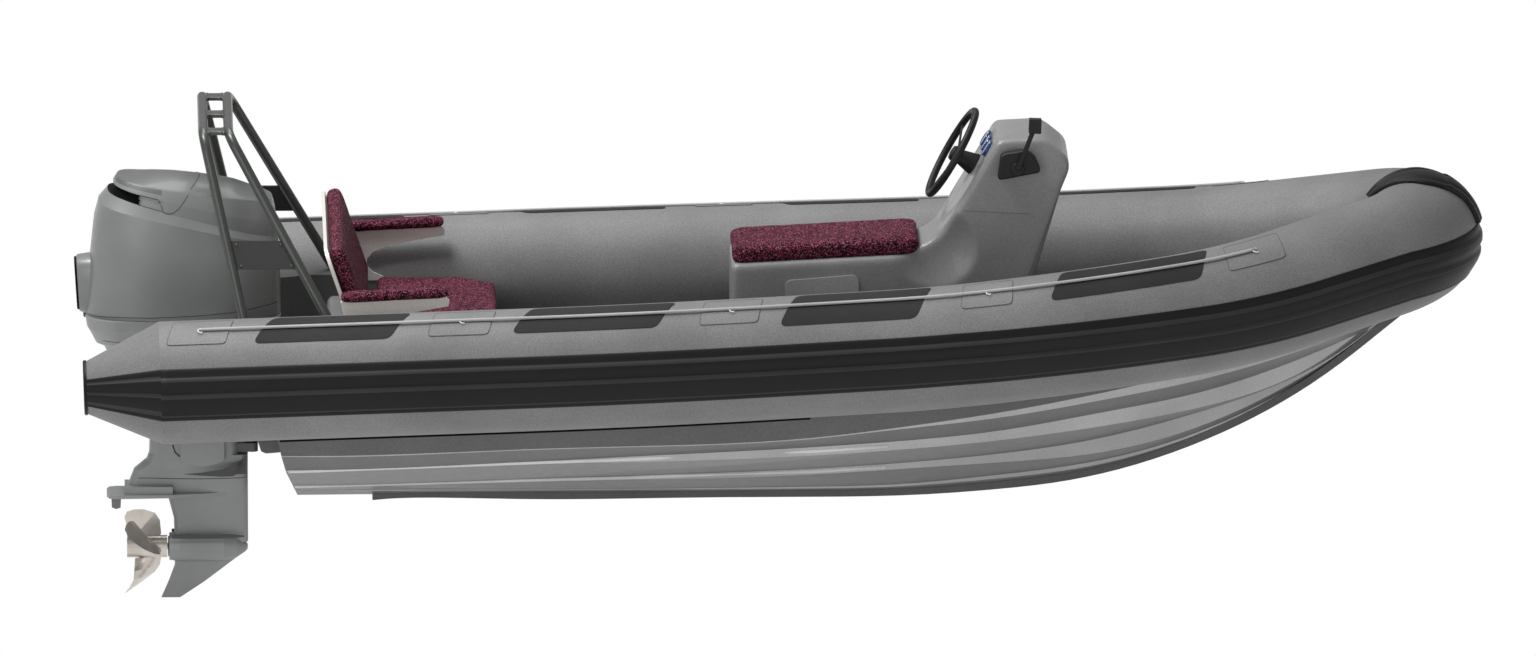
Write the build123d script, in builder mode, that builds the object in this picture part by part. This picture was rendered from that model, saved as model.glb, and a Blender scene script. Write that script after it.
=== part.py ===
from build123d import *
import os
from math import atan2, ceil, cos, hypot, pi, radians, sin, sqrt, tan

os.makedirs("parts", exist_ok=True)

# Rigid inflatable boat with a jockey console, a stern bench, an arch and an outboard motor.
# Millimetres. +X forward, +Y port, +Z up. The origin is on the waterline, on the centre line,
# above the foot of the transom. Tables of the port side are mirrored to starboard.

# ---------------------------------------------------------------- driving dimensions

DRAUGHT = 300           # keel at the transom below the waterline

TUBE_R = 222.5          # inflated collar
CONE_END_R = 96
CONE_END = (-768, 792.5, 291)
CAP_T = 12

STRAKE_SAG = 1          # how far the strake may cut inside the tube's bends
STRAKE_END_SPREAD = 1.2 # its angles widen by this at the small end of the cone
STRAKE_ROLL_FROM = 2350 # from here the strake sinks below the equator towards the nose
STRAKE_NOSE_ROLL = -10

BOW_BAND_T = 14
BOW_BAND_W = 190
BOW_BAND_FROM = 20      # degrees about the nose of the tube, from straight ahead
BOW_BAND_TO = 141

TRANSOM_RAKE = 12       # degrees, top leaning aft
TRANSOM_T = 50
TRANSOM_TOP = 508 - DRAUGHT
TRANSOM_HALF_W = 560

DECK_Z = 100            # top of the deck at the transom
DECK_SLOPE = 2.0        # degrees, rising to the bow
DECK_T = 12
DECK_END = 2985

FLANGE_W = 85           # the hull's edge that rises into the tube
FLOOR_MIN_HALF_W = 12
RAIL_SLOPE = 4          # rise over run of a spray rail's outer face

GUARD_START = 273
GUARD_T = 16
GUARD_DEPTH = 14        # how far it reaches up either side of the keel
GUARD_HALF_W = 22

BACK_LEAN = 18.7        # degrees
BACK_FOOT = (285, 385)  # x, z of the lower front edge of the back cushion
BACK_H = 377
BACK_HALF_W = 517
BACK_CUSHION_T = 57
BACK_SHELL_T = 13
GAP = 1                 # between a cushion and what carries it

HELM_HALF_W = 190
WHEEL_CENTRE = (2389, 0, 969)
WHEEL_TILT = 29.7       # degrees, the wheel's upper rim leaning forward of upright
WHEEL_R = 171
RIM_R = 13.5

ARCH_TUBE_R = 18
ARCH_Z = 1126

TRIM_AXIS = (-80, 247)  # x, z
STEER_X = -165
PROP_Z = -489
PROP_R = 172
RUNNING = 0.05          # radial clearance of a shaft in its bore

# Tube centre line on the port side, and how far either side of a corner its arc reaches.
TUBE_ROUTE = [
    # x,    y,     z,   bend
    (-500, 792.5, 307, 0),
    (1250, 792.5, 361, 480),
    (2350, 722, 404, 240),
    (2900, 625, 448, 230),
    (3400, 495, 498, 230),
    (4090, 155, 650, 152),
    (4090, 0, 650, 0),
]

# Hull sections. Lower edge of each spray rail as y, z and its height, from the keel to the chine,
# then the flange in the tube and the inner floor.
HULL_SECTIONS = [
    # x,  keel, yd, zd, hd,  yc, zc, hc,  yb, zb, hb,  ya, za, ha,  yf, zf, floor
    (-110, -300, 90, -266, 3, 225, -217, 4, 570, -80, 5, 665, -1, 3, 712, 150, 84),
    (0, -300, 90, -266, 3, 225, -217, 4, 570, -80, 5, 665, -1, 3, 712, 150, 88),
    (870, -300, 90, -266, 3, 225, -198, 6, 570, -53, 8, 665, 21, 3, 712, 175, 118),
    (1165, -300, 90, -266, 3, 225, -196, 13, 570, -50, 20, 662, 27, 3, 712, 186, 129),
    (1890, -297, 90, -265, 7, 222, -181, 23, 560, -30, 33, 645, 53, 4, 685, 206, 154),
    (2140, -295, 90, -261, 8, 215, -168, 23, 545, -18, 34, 630, 77, 6, 662, 218, 163),
    (2550, -272, 85, -233, 14, 195, -147, 34, 500, 8, 38, 590, 114, 20, 606, 248, 178),
    (2910, -221, 75, -187, 15, 160, -122, 56, 430, 40, 54, 530, 161, 28, 543, 280, 190),
    (3280, -104, 40, -84, 8, 110, -39, 58, 330, 86, 60, 430, 213, 44, 440, 318, 255),
    (3650, 86, 14, 98, 3, 45, 122, 16, 190, 180, 56, 280, 286, 46, 300, 376, 345),
    (3830, 215, 8, 222, 2, 22, 234, 4, 80, 272, 12, 150, 322, 14, 205, 408, 392),
    (4025, 374, 4, 378, 2, 10, 384, 2, 22, 392, 3, 40, 402, 4, 90, 446, 441),
]

# Pieces that leave this file, by node name.
PIECES = {}


# ---------------------------------------------------------------- shared shapes

def deck_top(x):
    """Height of the deck at x."""
    return DECK_Z + x * tan(radians(DECK_SLOPE))


def route(points):
    """Straight runs joined by tangent arcs, drawn in the open BuildLine."""
    spots = [Vector(*row[:3]) for row in points]
    here = spots[0]
    for before, corner, after, row in zip(spots, spots[1:], spots[2:], points[1:]):
        bend = row[3]
        start = corner - (corner - before).normalized() * bend
        end = corner + (after - corner).normalized() * bend
        Line(here, start)
        TangentArc(start, end, tangent=corner - before)
        here = end
    Line(here, spots[-1])


def swept_tube(points, radius):
    """A round bar along a route, added to the open BuildPart."""
    with BuildLine() as line:
        route(points)
    with BuildSketch(Plane(origin=line.line @ 0, z_dir=line.line % 0)) as ring:
        Circle(radius)
    sweep(ring.sketch, path=line.line)


def side_plate(outline, y_from, y_to, corner=0):
    """A side-view outline of x, z points, extruded across the boat between two widths."""
    with BuildSketch(Plane.XZ.offset(-y_from)) as profile:
        with BuildLine():
            Polyline(*outline, close=True)
        make_face()
        if corner:
            fillet(profile.vertices(), corner)
    extrude(profile.sketch, amount=y_from - y_to)


def oval_section(z, x_aft, x_fore, half_w, corner):
    """One level section of a motor housing, as a rounded rectangle."""
    with BuildSketch(Plane((0.5 * (x_aft + x_fore), 0, z))) as section:
        RectangleRounded(x_fore - x_aft, 2 * half_w, corner)
    return section.sketch


def mirrored(piece):
    """The same piece on the starboard side."""
    with BuildPart() as other:
        mirror(piece.part, about=Plane.XZ)
    return other


def polar(radius, angle):
    return (radius * cos(radians(angle)), radius * sin(radians(angle)))


# ---------------------------------------------------------------- collar

with BuildPart() as collar_port:
    swept_tube(TUBE_ROUTE, TUBE_R)
PIECES["collar_port"] = collar_port
PIECES["collar_starboard"] = collar_starboard = mirrored(collar_port)

tube_start = Vector(*TUBE_ROUTE[0][:3])
cone_end = Vector(*CONE_END)
nose = Vector(*TUBE_ROUTE[-1][:3])
run_dir = (Vector(*TUBE_ROUTE[1][:3]) - tube_start).normalized()

with BuildPart() as cone_port:
    with BuildSketch(Plane(origin=tube_start, z_dir=run_dir)):
        Circle(TUBE_R)
    with BuildSketch(Plane(origin=cone_end, z_dir=run_dir)):
        Circle(CONE_END_R)
    loft()
PIECES["cone_port"] = cone_port
PIECES["cone_starboard"] = mirrored(cone_port)

with BuildPart() as cone_caps:
    with BuildSketch(Plane(origin=cone_end, z_dir=-run_dir)):
        Circle(CONE_END_R + 4)
    extrude(amount=CAP_T)
    fillet(cone_caps.faces().sort_by(Axis.X)[0].edges(), 6)
    mirror(about=Plane.XZ)
PIECES["cone_caps"] = cone_caps

# Section of the strake about the tube's centre: radius beyond the tube, angle from the equator.
STRAKE_SECTION = [
    (-8, -25.5), (4, -25), (5, -10.5), (12, -9.5), (12, -0.5), (5, 0.5),
    (5, 5.5), (12, 6.5), (12, 15.5), (5, 16.5), (4, 25), (-8, 25.5),
]


def strake_outline(origin, along, radius, roll=0, spread=1):
    """Section of the rubbing strake on a tube of this radius, facing outwards or rolled down."""
    out = along.cross(Vector(0, 0, -1)).normalized().rotate(Axis((0, 0, 0), along), roll)
    corners = [polar(radius + extra, spread * angle) for extra, angle in STRAKE_SECTION]
    with BuildSketch(Plane(origin=origin, x_dir=out, z_dir=along)) as outline:
        Polygon(*corners, align=None)
    return outline.sketch


with BuildLine() as tube_line:
    route(TUBE_ROUTE)

strake_sections = [strake_outline(cone_end, run_dir, CONE_END_R, spread=STRAKE_END_SPREAD)]
for run in tube_line.edges():
    turn = radians((run % 0).get_angle(run % 1))
    steps = max(1, ceil(sqrt(run.length * turn / (8 * STRAKE_SAG))))
    for step in range(steps):
        spot = run @ (step / steps)
        roll = STRAKE_NOSE_ROLL * max(0, (spot.X - STRAKE_ROLL_FROM) / (nose.X - STRAKE_ROLL_FROM))
        strake_sections.append(strake_outline(spot, run % (step / steps), TUBE_R, roll))
strake_sections.append(strake_outline(nose, Vector(0, -1, 0), TUBE_R, STRAKE_NOSE_ROLL))

with BuildPart() as strake_port:
    loft(strake_sections, ruled=True)
    add(collar_port.part, mode=Mode.SUBTRACT)
    add(cone_port.part, mode=Mode.SUBTRACT)
PIECES["strake_port"] = strake_port
PIECES["strake_starboard"] = mirrored(strake_port)

# ---------------------------------------------------------------- bow band

band_fan = [polar(3 * TUBE_R, angle) for angle in (BOW_BAND_FROM, 60, 100, BOW_BAND_TO)]

with BuildPart() as bow_band:
    swept_tube(TUBE_ROUTE[4:], TUBE_R + BOW_BAND_T)
    mirror(about=Plane.XZ)
    with BuildSketch(Plane(origin=nose, x_dir=(1, 0, 0), z_dir=(0, -1, 0))):
        with BuildLine():
            Polyline((0, 0), *band_fan, close=True)
        make_face()
    extrude(amount=BOW_BAND_W / 2, both=True, mode=Mode.INTERSECT)
    for side in (collar_port, collar_starboard, strake_port, PIECES["strake_starboard"]):
        add(side.part, mode=Mode.SUBTRACT)
PIECES["bow_band"] = bow_band


# ---------------------------------------------------------------- hull and deck

def hull_section(x, keel, yd, zd, hd, yc, zc, hc, yb, zb, hb, ya, za, ha, yf, zf, floor):
    """Bottom with four spray rails, from the keel out to the flange in the tube, then in to the floor."""
    half = []
    for y, z, height in ((yd, zd, hd), (yc, zc, hc), (yb, zb, hb), (ya, za, ha)):
        half += [(y, z), (y + height / RAIL_SLOPE, z + height)]
    half += [(yf, zf), (max(yf - FLANGE_W, FLOOR_MIN_HALF_W), floor)]
    other = [(-y, z) for y, z in reversed(half)]
    with BuildSketch(Plane.YZ.offset(x)) as section:
        Polygon((0, keel), *half, *other, align=None)
    return section.sketch


transom_plane = Plane(
    origin=(0, 0, -DRAUGHT),
    x_dir=(0, 1, 0),
    z_dir=(cos(radians(TRANSOM_RAKE)), 0, sin(radians(TRANSOM_RAKE))),
)

with BuildPart() as hull:
    loft([hull_section(*row) for row in HULL_SECTIONS])
    split(bisect_by=transom_plane, keep=Keep.TOP)
    add(collar_port.part, mode=Mode.SUBTRACT)
    add(collar_starboard.part, mode=Mode.SUBTRACT)
PIECES["hull"] = hull

keel_line = [(GUARD_START, -DRAUGHT)] + [(x, keel) for x, keel, *_ in HULL_SECTIONS if x > GUARD_START]

with BuildPart() as keel_guard:
    guard_sections = []
    for before, here, after in zip(keel_line[:1] + keel_line, keel_line, keel_line[1:] + keel_line[-1:]):
        rise, run = after[1] - before[1], after[0] - before[0]
        drop = GUARD_T * hypot(rise, run) / run
        with BuildSketch(Plane.YZ.offset(here[0])) as section:
            with Locations((0, here[1] + (GUARD_DEPTH - drop) / 2)):
                Rectangle(2 * GUARD_HALF_W, GUARD_DEPTH + drop)
        guard_sections.append(section.sketch)
    loft(guard_sections)
    add(hull.part, mode=Mode.SUBTRACT)
    for side in (collar_port, collar_starboard):
        add(side.part, mode=Mode.SUBTRACT)
PIECES["keel_guard"] = keel_guard

transom_slope = radians(TRANSOM_RAKE)

with BuildPart() as transom:
    with BuildSketch(transom_plane):
        with Locations((0, (TRANSOM_TOP + DRAUGHT) / cos(transom_slope) - 150)):
            RectangleRounded(2 * TRANSOM_HALF_W, 300, 30)
    extrude(amount=TRANSOM_T)
    for neighbour in (hull, collar_port, collar_starboard):
        add(neighbour.part, mode=Mode.SUBTRACT)
    for crumb in transom.solids().sort_by(SortBy.VOLUME)[:-1]:
        add(crumb, mode=Mode.SUBTRACT)
PIECES["transom"] = transom

with BuildPart() as deck:
    deck_ends = [(-90, deck_top(-90)), (DECK_END, deck_top(DECK_END))]
    side_plate(deck_ends + [(x, z - DECK_T) for x, z in reversed(deck_ends)], -720, 720)
    for neighbour in (hull, collar_port, collar_starboard, transom):
        add(neighbour.part, mode=Mode.SUBTRACT)
    split(bisect_by=transom_plane, keep=Keep.TOP)
    for crumb in deck.solids().sort_by(SortBy.VOLUME)[:-1]:
        add(crumb, mode=Mode.SUBTRACT)
PIECES["deck"] = deck

BOW_STEP = [
    # x, bottom and its half width, top and its half width
    (2990, 185, 430, 420, 520),
    (3280, 245, 345, 432, 440),
    (3650, 335, 205, 465, 300),
    (3830, 385, 105, 478, 200),
]

with BuildPart() as bow_step:
    step_sections = []
    for x, low, low_half_w, top, top_half_w in BOW_STEP:
        half = [(low_half_w, low), (top_half_w, top)]
        with BuildSketch(Plane.YZ.offset(x)) as section:
            Polygon(*half, *[(-y, z) for y, z in reversed(half)], align=None)
        step_sections.append(section.sketch)
    loft(step_sections, ruled=True)
    for neighbour in (hull, collar_port, collar_starboard, deck):
        add(neighbour.part, mode=Mode.SUBTRACT)
    for crumb in bow_step.solids().sort_by(SortBy.VOLUME)[:-1]:
        add(crumb, mode=Mode.SUBTRACT)
PIECES["bow_step"] = bow_step


# ---------------------------------------------------------------- stern bench

BENCH_TOP = 340
BENCH_CUSHION_TOP = 400
BENCH_HALF_W = 545
back_up = (-sin(radians(BACK_LEAN)), cos(radians(BACK_LEAN)))
back_plane = Plane(
    origin=(BACK_FOOT[0], 0, BACK_FOOT[1]),
    x_dir=(0, 1, 0),
    z_dir=(back_up[1], 0, -back_up[0]),
)

with BuildPart() as bench_base:
    side_plate(
        [(70, deck_top(70)), (690, deck_top(690)), (715, BENCH_TOP), (120, BENCH_TOP)],
        -BENCH_HALF_W,
        BENCH_HALF_W,
    )
    fillet(bench_base.edges().filter_by(Axis.Y).group_by(Axis.Z)[-1], 25)
    for neighbour in (collar_port, collar_starboard):
        add(neighbour.part, mode=Mode.SUBTRACT)
PIECES["bench_base"] = bench_base

with BuildPart() as bench_cushion:
    with BuildSketch(Plane.XY.offset(BENCH_TOP + GAP)):
        Polygon(
            (285, -BENCH_HALF_W), (613, -BENCH_HALF_W), (743, -BENCH_HALF_W + 100),
            (743, BENCH_HALF_W - 100), (613, BENCH_HALF_W), (285, BENCH_HALF_W),
            align=None,
        )
    extrude(amount=BENCH_CUSHION_TOP - BENCH_TOP - GAP)
    fillet(bench_cushion.edges().group_by(Axis.Z)[-1], 20)
PIECES["bench_cushion"] = bench_cushion


def back_panel(width, low, high, corner, start, thickness):
    """A rounded panel parallel to the back rest, added to the open BuildPart."""
    with BuildSketch(back_plane.offset(-start)) as panel:
        with Locations((0, 0.5 * (low + high))):
            RectangleRounded(width, high - low, corner)
    extrude(panel.sketch, amount=-thickness)


with BuildPart() as back_cushion:
    back_panel(2 * BACK_HALF_W, 25, BACK_H, 60, 0, BACK_CUSHION_T)
    fillet(back_cushion.faces().sort_by(Axis.X)[-1].edges(), 18)
PIECES["back_cushion"] = back_cushion

with BuildPart() as back_shell:
    back_panel(
        2 * BACK_HALF_W + 16, -46, BACK_H + 8, 64, BACK_CUSHION_T + GAP, BACK_SHELL_T
    )
    add(bench_base.part, mode=Mode.SUBTRACT)
PIECES["back_shell"] = back_shell

ARM_Y = 580
ARM_PAD_W = 80
WING_T = 24
wing_outline = [
    (153, 556), (535, 574), (548, 560), (545, 540), (430, 520), (330, 498), (283, 478),
    (262, 452), (262, 424), (285, 402), (322, 386), (300, 372), (205, 372), (185, 420),
]

with BuildPart() as arm_wings:
    side_plate(wing_outline, ARM_Y - WING_T / 2, ARM_Y + WING_T / 2)
    mirror(about=Plane.XZ)
    for neighbour in (collar_port, collar_starboard, back_shell, bench_base):
        add(neighbour.part, mode=Mode.SUBTRACT)
PIECES["arm_wings"] = arm_wings

with BuildPart() as arm_pads:
    side_plate(
        [(153, 558), (538, 576), (548, 590), (538, 606), (153, 588)],
        ARM_Y - ARM_PAD_W / 2,
        ARM_Y + ARM_PAD_W / 2,
    )
    mirror(about=Plane.XZ)
    for neighbour in (arm_wings, collar_port, collar_starboard):
        add(neighbour.part, mode=Mode.SUBTRACT)
PIECES["arm_pads"] = arm_pads


# ---------------------------------------------------------------- helm

helm_profile = [
    (1580, deck_top(1580)), (1580, 602), (2284, 637), (2552, 1051), (2710, 1060),
    (2800, 1000), (2776, 875), (2690, 600), (2540, deck_top(2540)),
]

with BuildPart() as helm_moulding:
    side_plate(helm_profile, -HELM_HALF_W, HELM_HALF_W)
    rim = helm_moulding.faces().sort_by(Axis.Y)
    foot = helm_moulding.faces().sort_by(Axis.Z)[0].edges()
    fillet(rim[0].edges() + rim[-1].edges() - foot, 20)
PIECES["helm_moulding"] = helm_moulding

helm_seat_line = [(1590, 602), (2272, 636)]
with BuildPart() as helm_cushion:
    side_plate(
        [(x, z + GAP) for x, z in helm_seat_line] + [(2272, 690), (2240, 696), (1580, 650)],
        -180,
        180,
    )
PIECES["helm_cushion"] = helm_cushion

with BuildPart() as seat_hatch:
    side_plate(
        [(1775, 330), (2043, 330), (2043, 558), (1775, 537)], -HELM_HALF_W - 8, -HELM_HALF_W, 25
    )
PIECES["seat_hatch"] = seat_hatch

dash_dir = Vector(2552 - 2292, 0, 1051 - 650).normalized()
dash_plane = Plane(
    origin=Vector(2552, 0, 1051) - dash_dir * 62,
    x_dir=(0, 1, 0),
    z_dir=(-dash_dir.Z, 0, dash_dir.X),
)

with BuildPart() as gauges:
    with BuildSketch(dash_plane):
        with GridLocations(84, 1, 3, 1):
            Circle(32)
    extrude(amount=9)
PIECES["gauges"] = gauges

wheel_normal = Vector(-cos(radians(WHEEL_TILT)), 0, sin(radians(WHEEL_TILT)))
wheel_plane = Plane(origin=WHEEL_CENTRE, x_dir=(0, 1, 0), z_dir=wheel_normal)

with BuildPart() as helm_column:
    with BuildSketch(wheel_plane.offset(-135)):
        Circle(52)
    with BuildSketch(wheel_plane.offset(-28)):
        Circle(26)
    loft()
    with BuildSketch(wheel_plane.offset(-70)):
        Circle(10 + RUNNING)
    extrude(amount=60, mode=Mode.SUBTRACT)
    add(helm_moulding.part, mode=Mode.SUBTRACT)
PIECES["helm_column"] = helm_column

with BuildPart() as throttle_box:
    side_plate(
        [(2559, 1000), (2659, 1018), (2704, 939), (2551, 908)],
        -HELM_HALF_W - 44,
        -HELM_HALF_W,
        12,
    )
PIECES["throttle_box"] = throttle_box

THROTTLE_PIVOT = (2620, 962)

with BuildPart() as throttle_lever:
    with BuildSketch(Plane.XZ.offset(HELM_HALF_W + 44)):
        with Locations(THROTTLE_PIVOT):
            Circle(26)
    extrude(amount=14)
    side_plate(
        [(2608, 966), (2632, 957), (2690, 1095), (2668, 1103)], -HELM_HALF_W - 64, -HELM_HALF_W - 46
    )
    side_plate(
        [(2656, 1096), (2692, 1083), (2714, 1128), (2704, 1148), (2676, 1150)],
        -HELM_HALF_W - 76,
        -HELM_HALF_W - 34,
        6,
    )
PIECES["throttle_lever"] = throttle_lever


# ---------------------------------------------------------------- arch

ARCH_TOP_HALF_W = 345
ARCH_FOOT_Y = 553
ARCH_FOOT_Z = 420
ARCH_FEET = [
    # name, x at the top, x at the foot
    ("arch_rear_hoop", -341, -184),
    ("arch_front_hoop", -249, 142),
]

for name, top_x, foot_x in ARCH_FEET:
    with BuildPart() as hoop:
        swept_tube(
            [
                (foot_x, ARCH_FOOT_Y, ARCH_FOOT_Z, 0),
                (top_x, ARCH_TOP_HALF_W, ARCH_Z, 60),
                (top_x, -ARCH_TOP_HALF_W, ARCH_Z, 60),
                (foot_x, -ARCH_FOOT_Y, ARCH_FOOT_Z, 0),
            ],
            ARCH_TUBE_R,
        )
    PIECES[name] = hoop

hoops = [PIECES[name] for name, _, _ in ARCH_FEET]

with BuildPart() as arch_cross_plates:
    with Locations((-295, 0, ARCH_Z), (-295, 285, ARCH_Z), (-295, -285, ARCH_Z)):
        Box(92, 44, 8)
    for hoop in hoops:
        add(hoop.part, mode=Mode.SUBTRACT)
PIECES["arch_cross_plates"] = arch_cross_plates

arch_lean = (ARCH_FOOT_Y - ARCH_TOP_HALF_W) / (ARCH_Z - ARCH_FOOT_Z)


def leg_point(top_x, foot_x, z):
    """Centre of an arch leg at height z, as x and the distance up the plane of the legs."""
    share = (ARCH_Z - z) / (ARCH_Z - ARCH_FOOT_Z)
    return (top_x + share * (foot_x - top_x), (z - ARCH_FOOT_Z) * hypot(1, arch_lean))


leg_plane = Plane(
    origin=(0, ARCH_FOOT_Y, ARCH_FOOT_Z),
    x_dir=(1, 0, 0),
    z_dir=Vector(0, -1, -arch_lean),
)

with BuildPart() as arch_gussets:
    rear, front = [row[1:] for row in ARCH_FEET]
    with BuildSketch(leg_plane):
        Polygon(
            leg_point(*rear, 655), leg_point(*front, 655),
            leg_point(*front, 755), leg_point(*rear, 755),
            align=None,
        )
    extrude(amount=3, both=True)
    mirror(about=Plane.XZ)
    for hoop in hoops:
        add(hoop.part, mode=Mode.SUBTRACT)
PIECES["arch_gussets"] = arch_gussets

with BuildPart() as stern_corners:
    side_plate(
        [(-250, 300), (-215, 396), (60, 420), (190, 420), (190, deck_top(190)), (-40, deck_top(-40))],
        455,
        640,
    )
    mirror(about=Plane.XZ)
    for neighbour in (collar_port, collar_starboard, hull, deck, transom, bench_base, arm_wings, back_shell):
        add(neighbour.part, mode=Mode.SUBTRACT)
    for hoop in hoops:
        add(hoop.part, mode=Mode.SUBTRACT)
    for crumb in stern_corners.solids().sort_by(SortBy.VOLUME)[:-2]:
        add(crumb, mode=Mode.SUBTRACT)
PIECES["stern_corners"] = stern_corners


# ---------------------------------------------------------------- motor mounting

with BuildPart() as clamp_bracket:
    for y in (86, -100):
        side_plate(
            [(-165, 20), (-128, 262), (-70, 272), (-30, 262), (5, 232), (5, 130), (-60, 130), (-60, 20)],
            y,
            y + 14,
        )
    with BuildSketch(Plane.XZ.offset(-86)):
        with Locations((TRIM_AXIS[0], TRIM_AXIS[1])):
            Circle(15)
    extrude(amount=172)
    for neighbour in (transom, hull, deck):
        add(neighbour.part, mode=Mode.SUBTRACT)
PIECES["clamp_bracket"] = clamp_bracket

with BuildPart() as swivel_bracket:
    with BuildSketch(Plane.XZ.offset(-79)):
        with Locations(TRIM_AXIS):
            Circle(28)
    extrude(amount=158)
    side_plate([(-150, 190), (-92, 226), (-80, 270), (-150, 274)], -60, 60)
    with BuildSketch(Plane((STEER_X, 0, -90))):
        Circle(32)
    extrude(amount=364)
    with BuildSketch(Plane((STEER_X, 0, -90))):
        Circle(16 + RUNNING)
    extrude(amount=364, mode=Mode.SUBTRACT)
    with BuildSketch(Plane.XZ.offset(-100)):
        with Locations(TRIM_AXIS):
            Circle(15 + RUNNING)
    extrude(amount=200, mode=Mode.SUBTRACT)
PIECES["swivel_bracket"] = swivel_bracket


# ---------------------------------------------------------------- outboard motor

# Level sections of the motor's housings, from z, aft x, fore x, half width and plan corner.
LEG_UPPER = [
    (298, -718, -215, 110, 90),
    (252, -694, -214, 96, 80),
    (200, -600, -213, 78, 60),
    (150, -562, -213, 72, 54),
    (-60, -538, -212, 60, 40),
    (-136, -541, -212, 56, 40),
]
LEG_LOWER = [
    (-136, -541, -181, 56, 36),
    (-162, -551, -181, 54, 36),
    (-198, -596, -181, 46, 34),
    (-232, -610, -181, 42, 32),
    (-281, -624, -181, 38, 28),
]
STRUT = [
    (-281, -478, -181, 30, 24),
    (-380, -452, -181, 24, 20),
    (-470, -449, -181, 22, 18),
]
LOWER_COWL = [
    (283, -712, -150, 130, 90),
    (300, -734, -85, 172, 95),
    (330, -748, -66, 190, 105),
    (360, -765, -60, 200, 112),
    (397, -771, -60, 204, 115),
]
COWL = [
    (399, -771, -60, 204, 115),
    (533, -760, -60, 210, 118),
    (670, -745, -71, 204, 115),
    (777, -723, -95, 184, 105),
    (857, -681, -138, 143, 90),
    (892, -660, -290, 95, 70),
    (916, -600, -470, 30, 20),
]


def stacked(rows):
    """A housing through level sections, added to the open BuildPart."""
    loft([oval_section(*row) for row in rows], ruled=True)


COVER_X = (-427, -267)  # the side covers over the lower mount, from x to x
COVER_HALF_W = 76
COVER_TOP = -40

with BuildPart() as motor_leg:
    stacked(LEG_UPPER)
    stacked(LEG_LOWER)
    with BuildSketch(Plane.XZ.offset(-COVER_HALF_W)) as mount_cover:
        with BuildLine():
            ThreePointArc((COVER_X[0], -150), (-347, -172), (COVER_X[1], -150))
            Polyline(
                (COVER_X[1], -150), (COVER_X[1], COVER_TOP), (COVER_X[0], COVER_TOP), (COVER_X[0], -150)
            )
        make_face()
    extrude(mount_cover.sketch, amount=2 * COVER_HALF_W)
PIECES["motor_leg"] = motor_leg

PLATE_Z = -293
PLATE_OUTLINE = [
    # x, half width
    (-696, 40), (-688, 72), (-660, 82), (-455, 72), (-300, 42), (-190, 8),
]
TORPEDO = [
    # x, radius
    (-469, 50), (-430, 56), (-270, 56), (-222, 42), (-190, 20), (-182, 6),
]

with BuildPart() as gearcase:
    stacked(STRUT)
    with BuildSketch(Plane.XY.offset(PLATE_Z)):
        Polygon(*PLATE_OUTLINE, *[(x, -y) for x, y in reversed(PLATE_OUTLINE)], align=None)
    extrude(amount=12)
    with BuildSketch(Plane.XY.offset(PLATE_Z)):
        with Locations((-543, 0)):
            Rectangle(176, 124)
    extrude(amount=40)
    for x, radius in TORPEDO:
        with BuildSketch(Plane.YZ.offset(x)):
            with Locations((0, PROP_Z)):
                Circle(radius)
    loft(ruled=True)
    side_plate(
        [(-448, -520), (-449, -558), (-470, -615), (-498, -680), (-430, -680), (-340, -620),
         (-183, -500), (-250, -470)],
        -6,
        6,
    )
    with BuildSketch(Plane.YZ.offset(-480)):
        with Locations((0, PROP_Z)):
            Circle(12 + RUNNING)
    extrude(amount=80, mode=Mode.SUBTRACT)
    add(motor_leg.part, mode=Mode.SUBTRACT)
PIECES["gearcase"] = gearcase

with BuildPart() as trim_tab:
    side_plate(
        [(-609, -293), (-680, -293), (-678, -342), (-662, -348), (-646, -343), (-644, -308), (-615, -303)],
        -6,
        6,
    )
PIECES["trim_tab"] = trim_tab

with BuildPart() as lower_cowl:
    stacked(LOWER_COWL)
    add(motor_leg.part, mode=Mode.SUBTRACT)
PIECES["lower_cowl"] = lower_cowl

COWL_BOSS = [
    # x, width, height of the boss on the back
    (-806, 150, 168),
    (-745, 200, 180),
]

with BuildPart() as cowl:
    stacked(COWL)
    for x, width, height in COWL_BOSS:
        with BuildSketch(Plane.YZ.offset(x)):
            with Locations((0, 490)):
                RectangleRounded(width, height, 50)
    loft(ruled=True)
PIECES["cowl"] = cowl

with BuildPart() as kingpin:
    with BuildSketch(Plane((STEER_X, 0, -134))):
        Circle(16)
    extrude(amount=434)
    with BuildSketch(Plane.XY.offset(280)):
        with Locations((STEER_X - 30, 0)):
            RectangleRounded(110, 90, 20)
    extrude(amount=19)
    with BuildSketch(Plane.XY.offset(-128)):
        with Locations((STEER_X - 22, 0)):
            RectangleRounded(86, 80, 18)
    extrude(amount=32)
    for neighbour in (motor_leg, lower_cowl):
        add(neighbour.part, mode=Mode.SUBTRACT)
PIECES["kingpin"] = kingpin

BLADE_PITCH = 430
BLADE_SECTIONS = [
    # radius, chord, thickness, x of its middle
    (38, 110, 12, -546),
    (80, 146, 9, -550),
    (110, 150, 7, -560),
    (140, 120, 5, -588),
    (160, 74, 4, -612),
    (PROP_R, 26, 3, -627),
]


def blade_section(radius, chord, thickness, x):
    """A lens-shaped section at this radius, its chord turned to the pitch."""
    pitch = atan2(BLADE_PITCH, 2 * pi * radius)
    plane = Plane(
        origin=(x, 0, PROP_Z - radius),
        x_dir=(sin(pitch), cos(pitch), 0),
        z_dir=(0, 0, -1),
    )
    with BuildSketch(plane) as section:
        with BuildLine():
            ThreePointArc((-chord / 2, 0), (0, thickness), (chord / 2, 0))
            Line((chord / 2, 0), (-chord / 2, 0))
        make_face()
    return section.sketch


with BuildPart() as blade:
    loft([blade_section(*row) for row in BLADE_SECTIONS], ruled=True)

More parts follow.
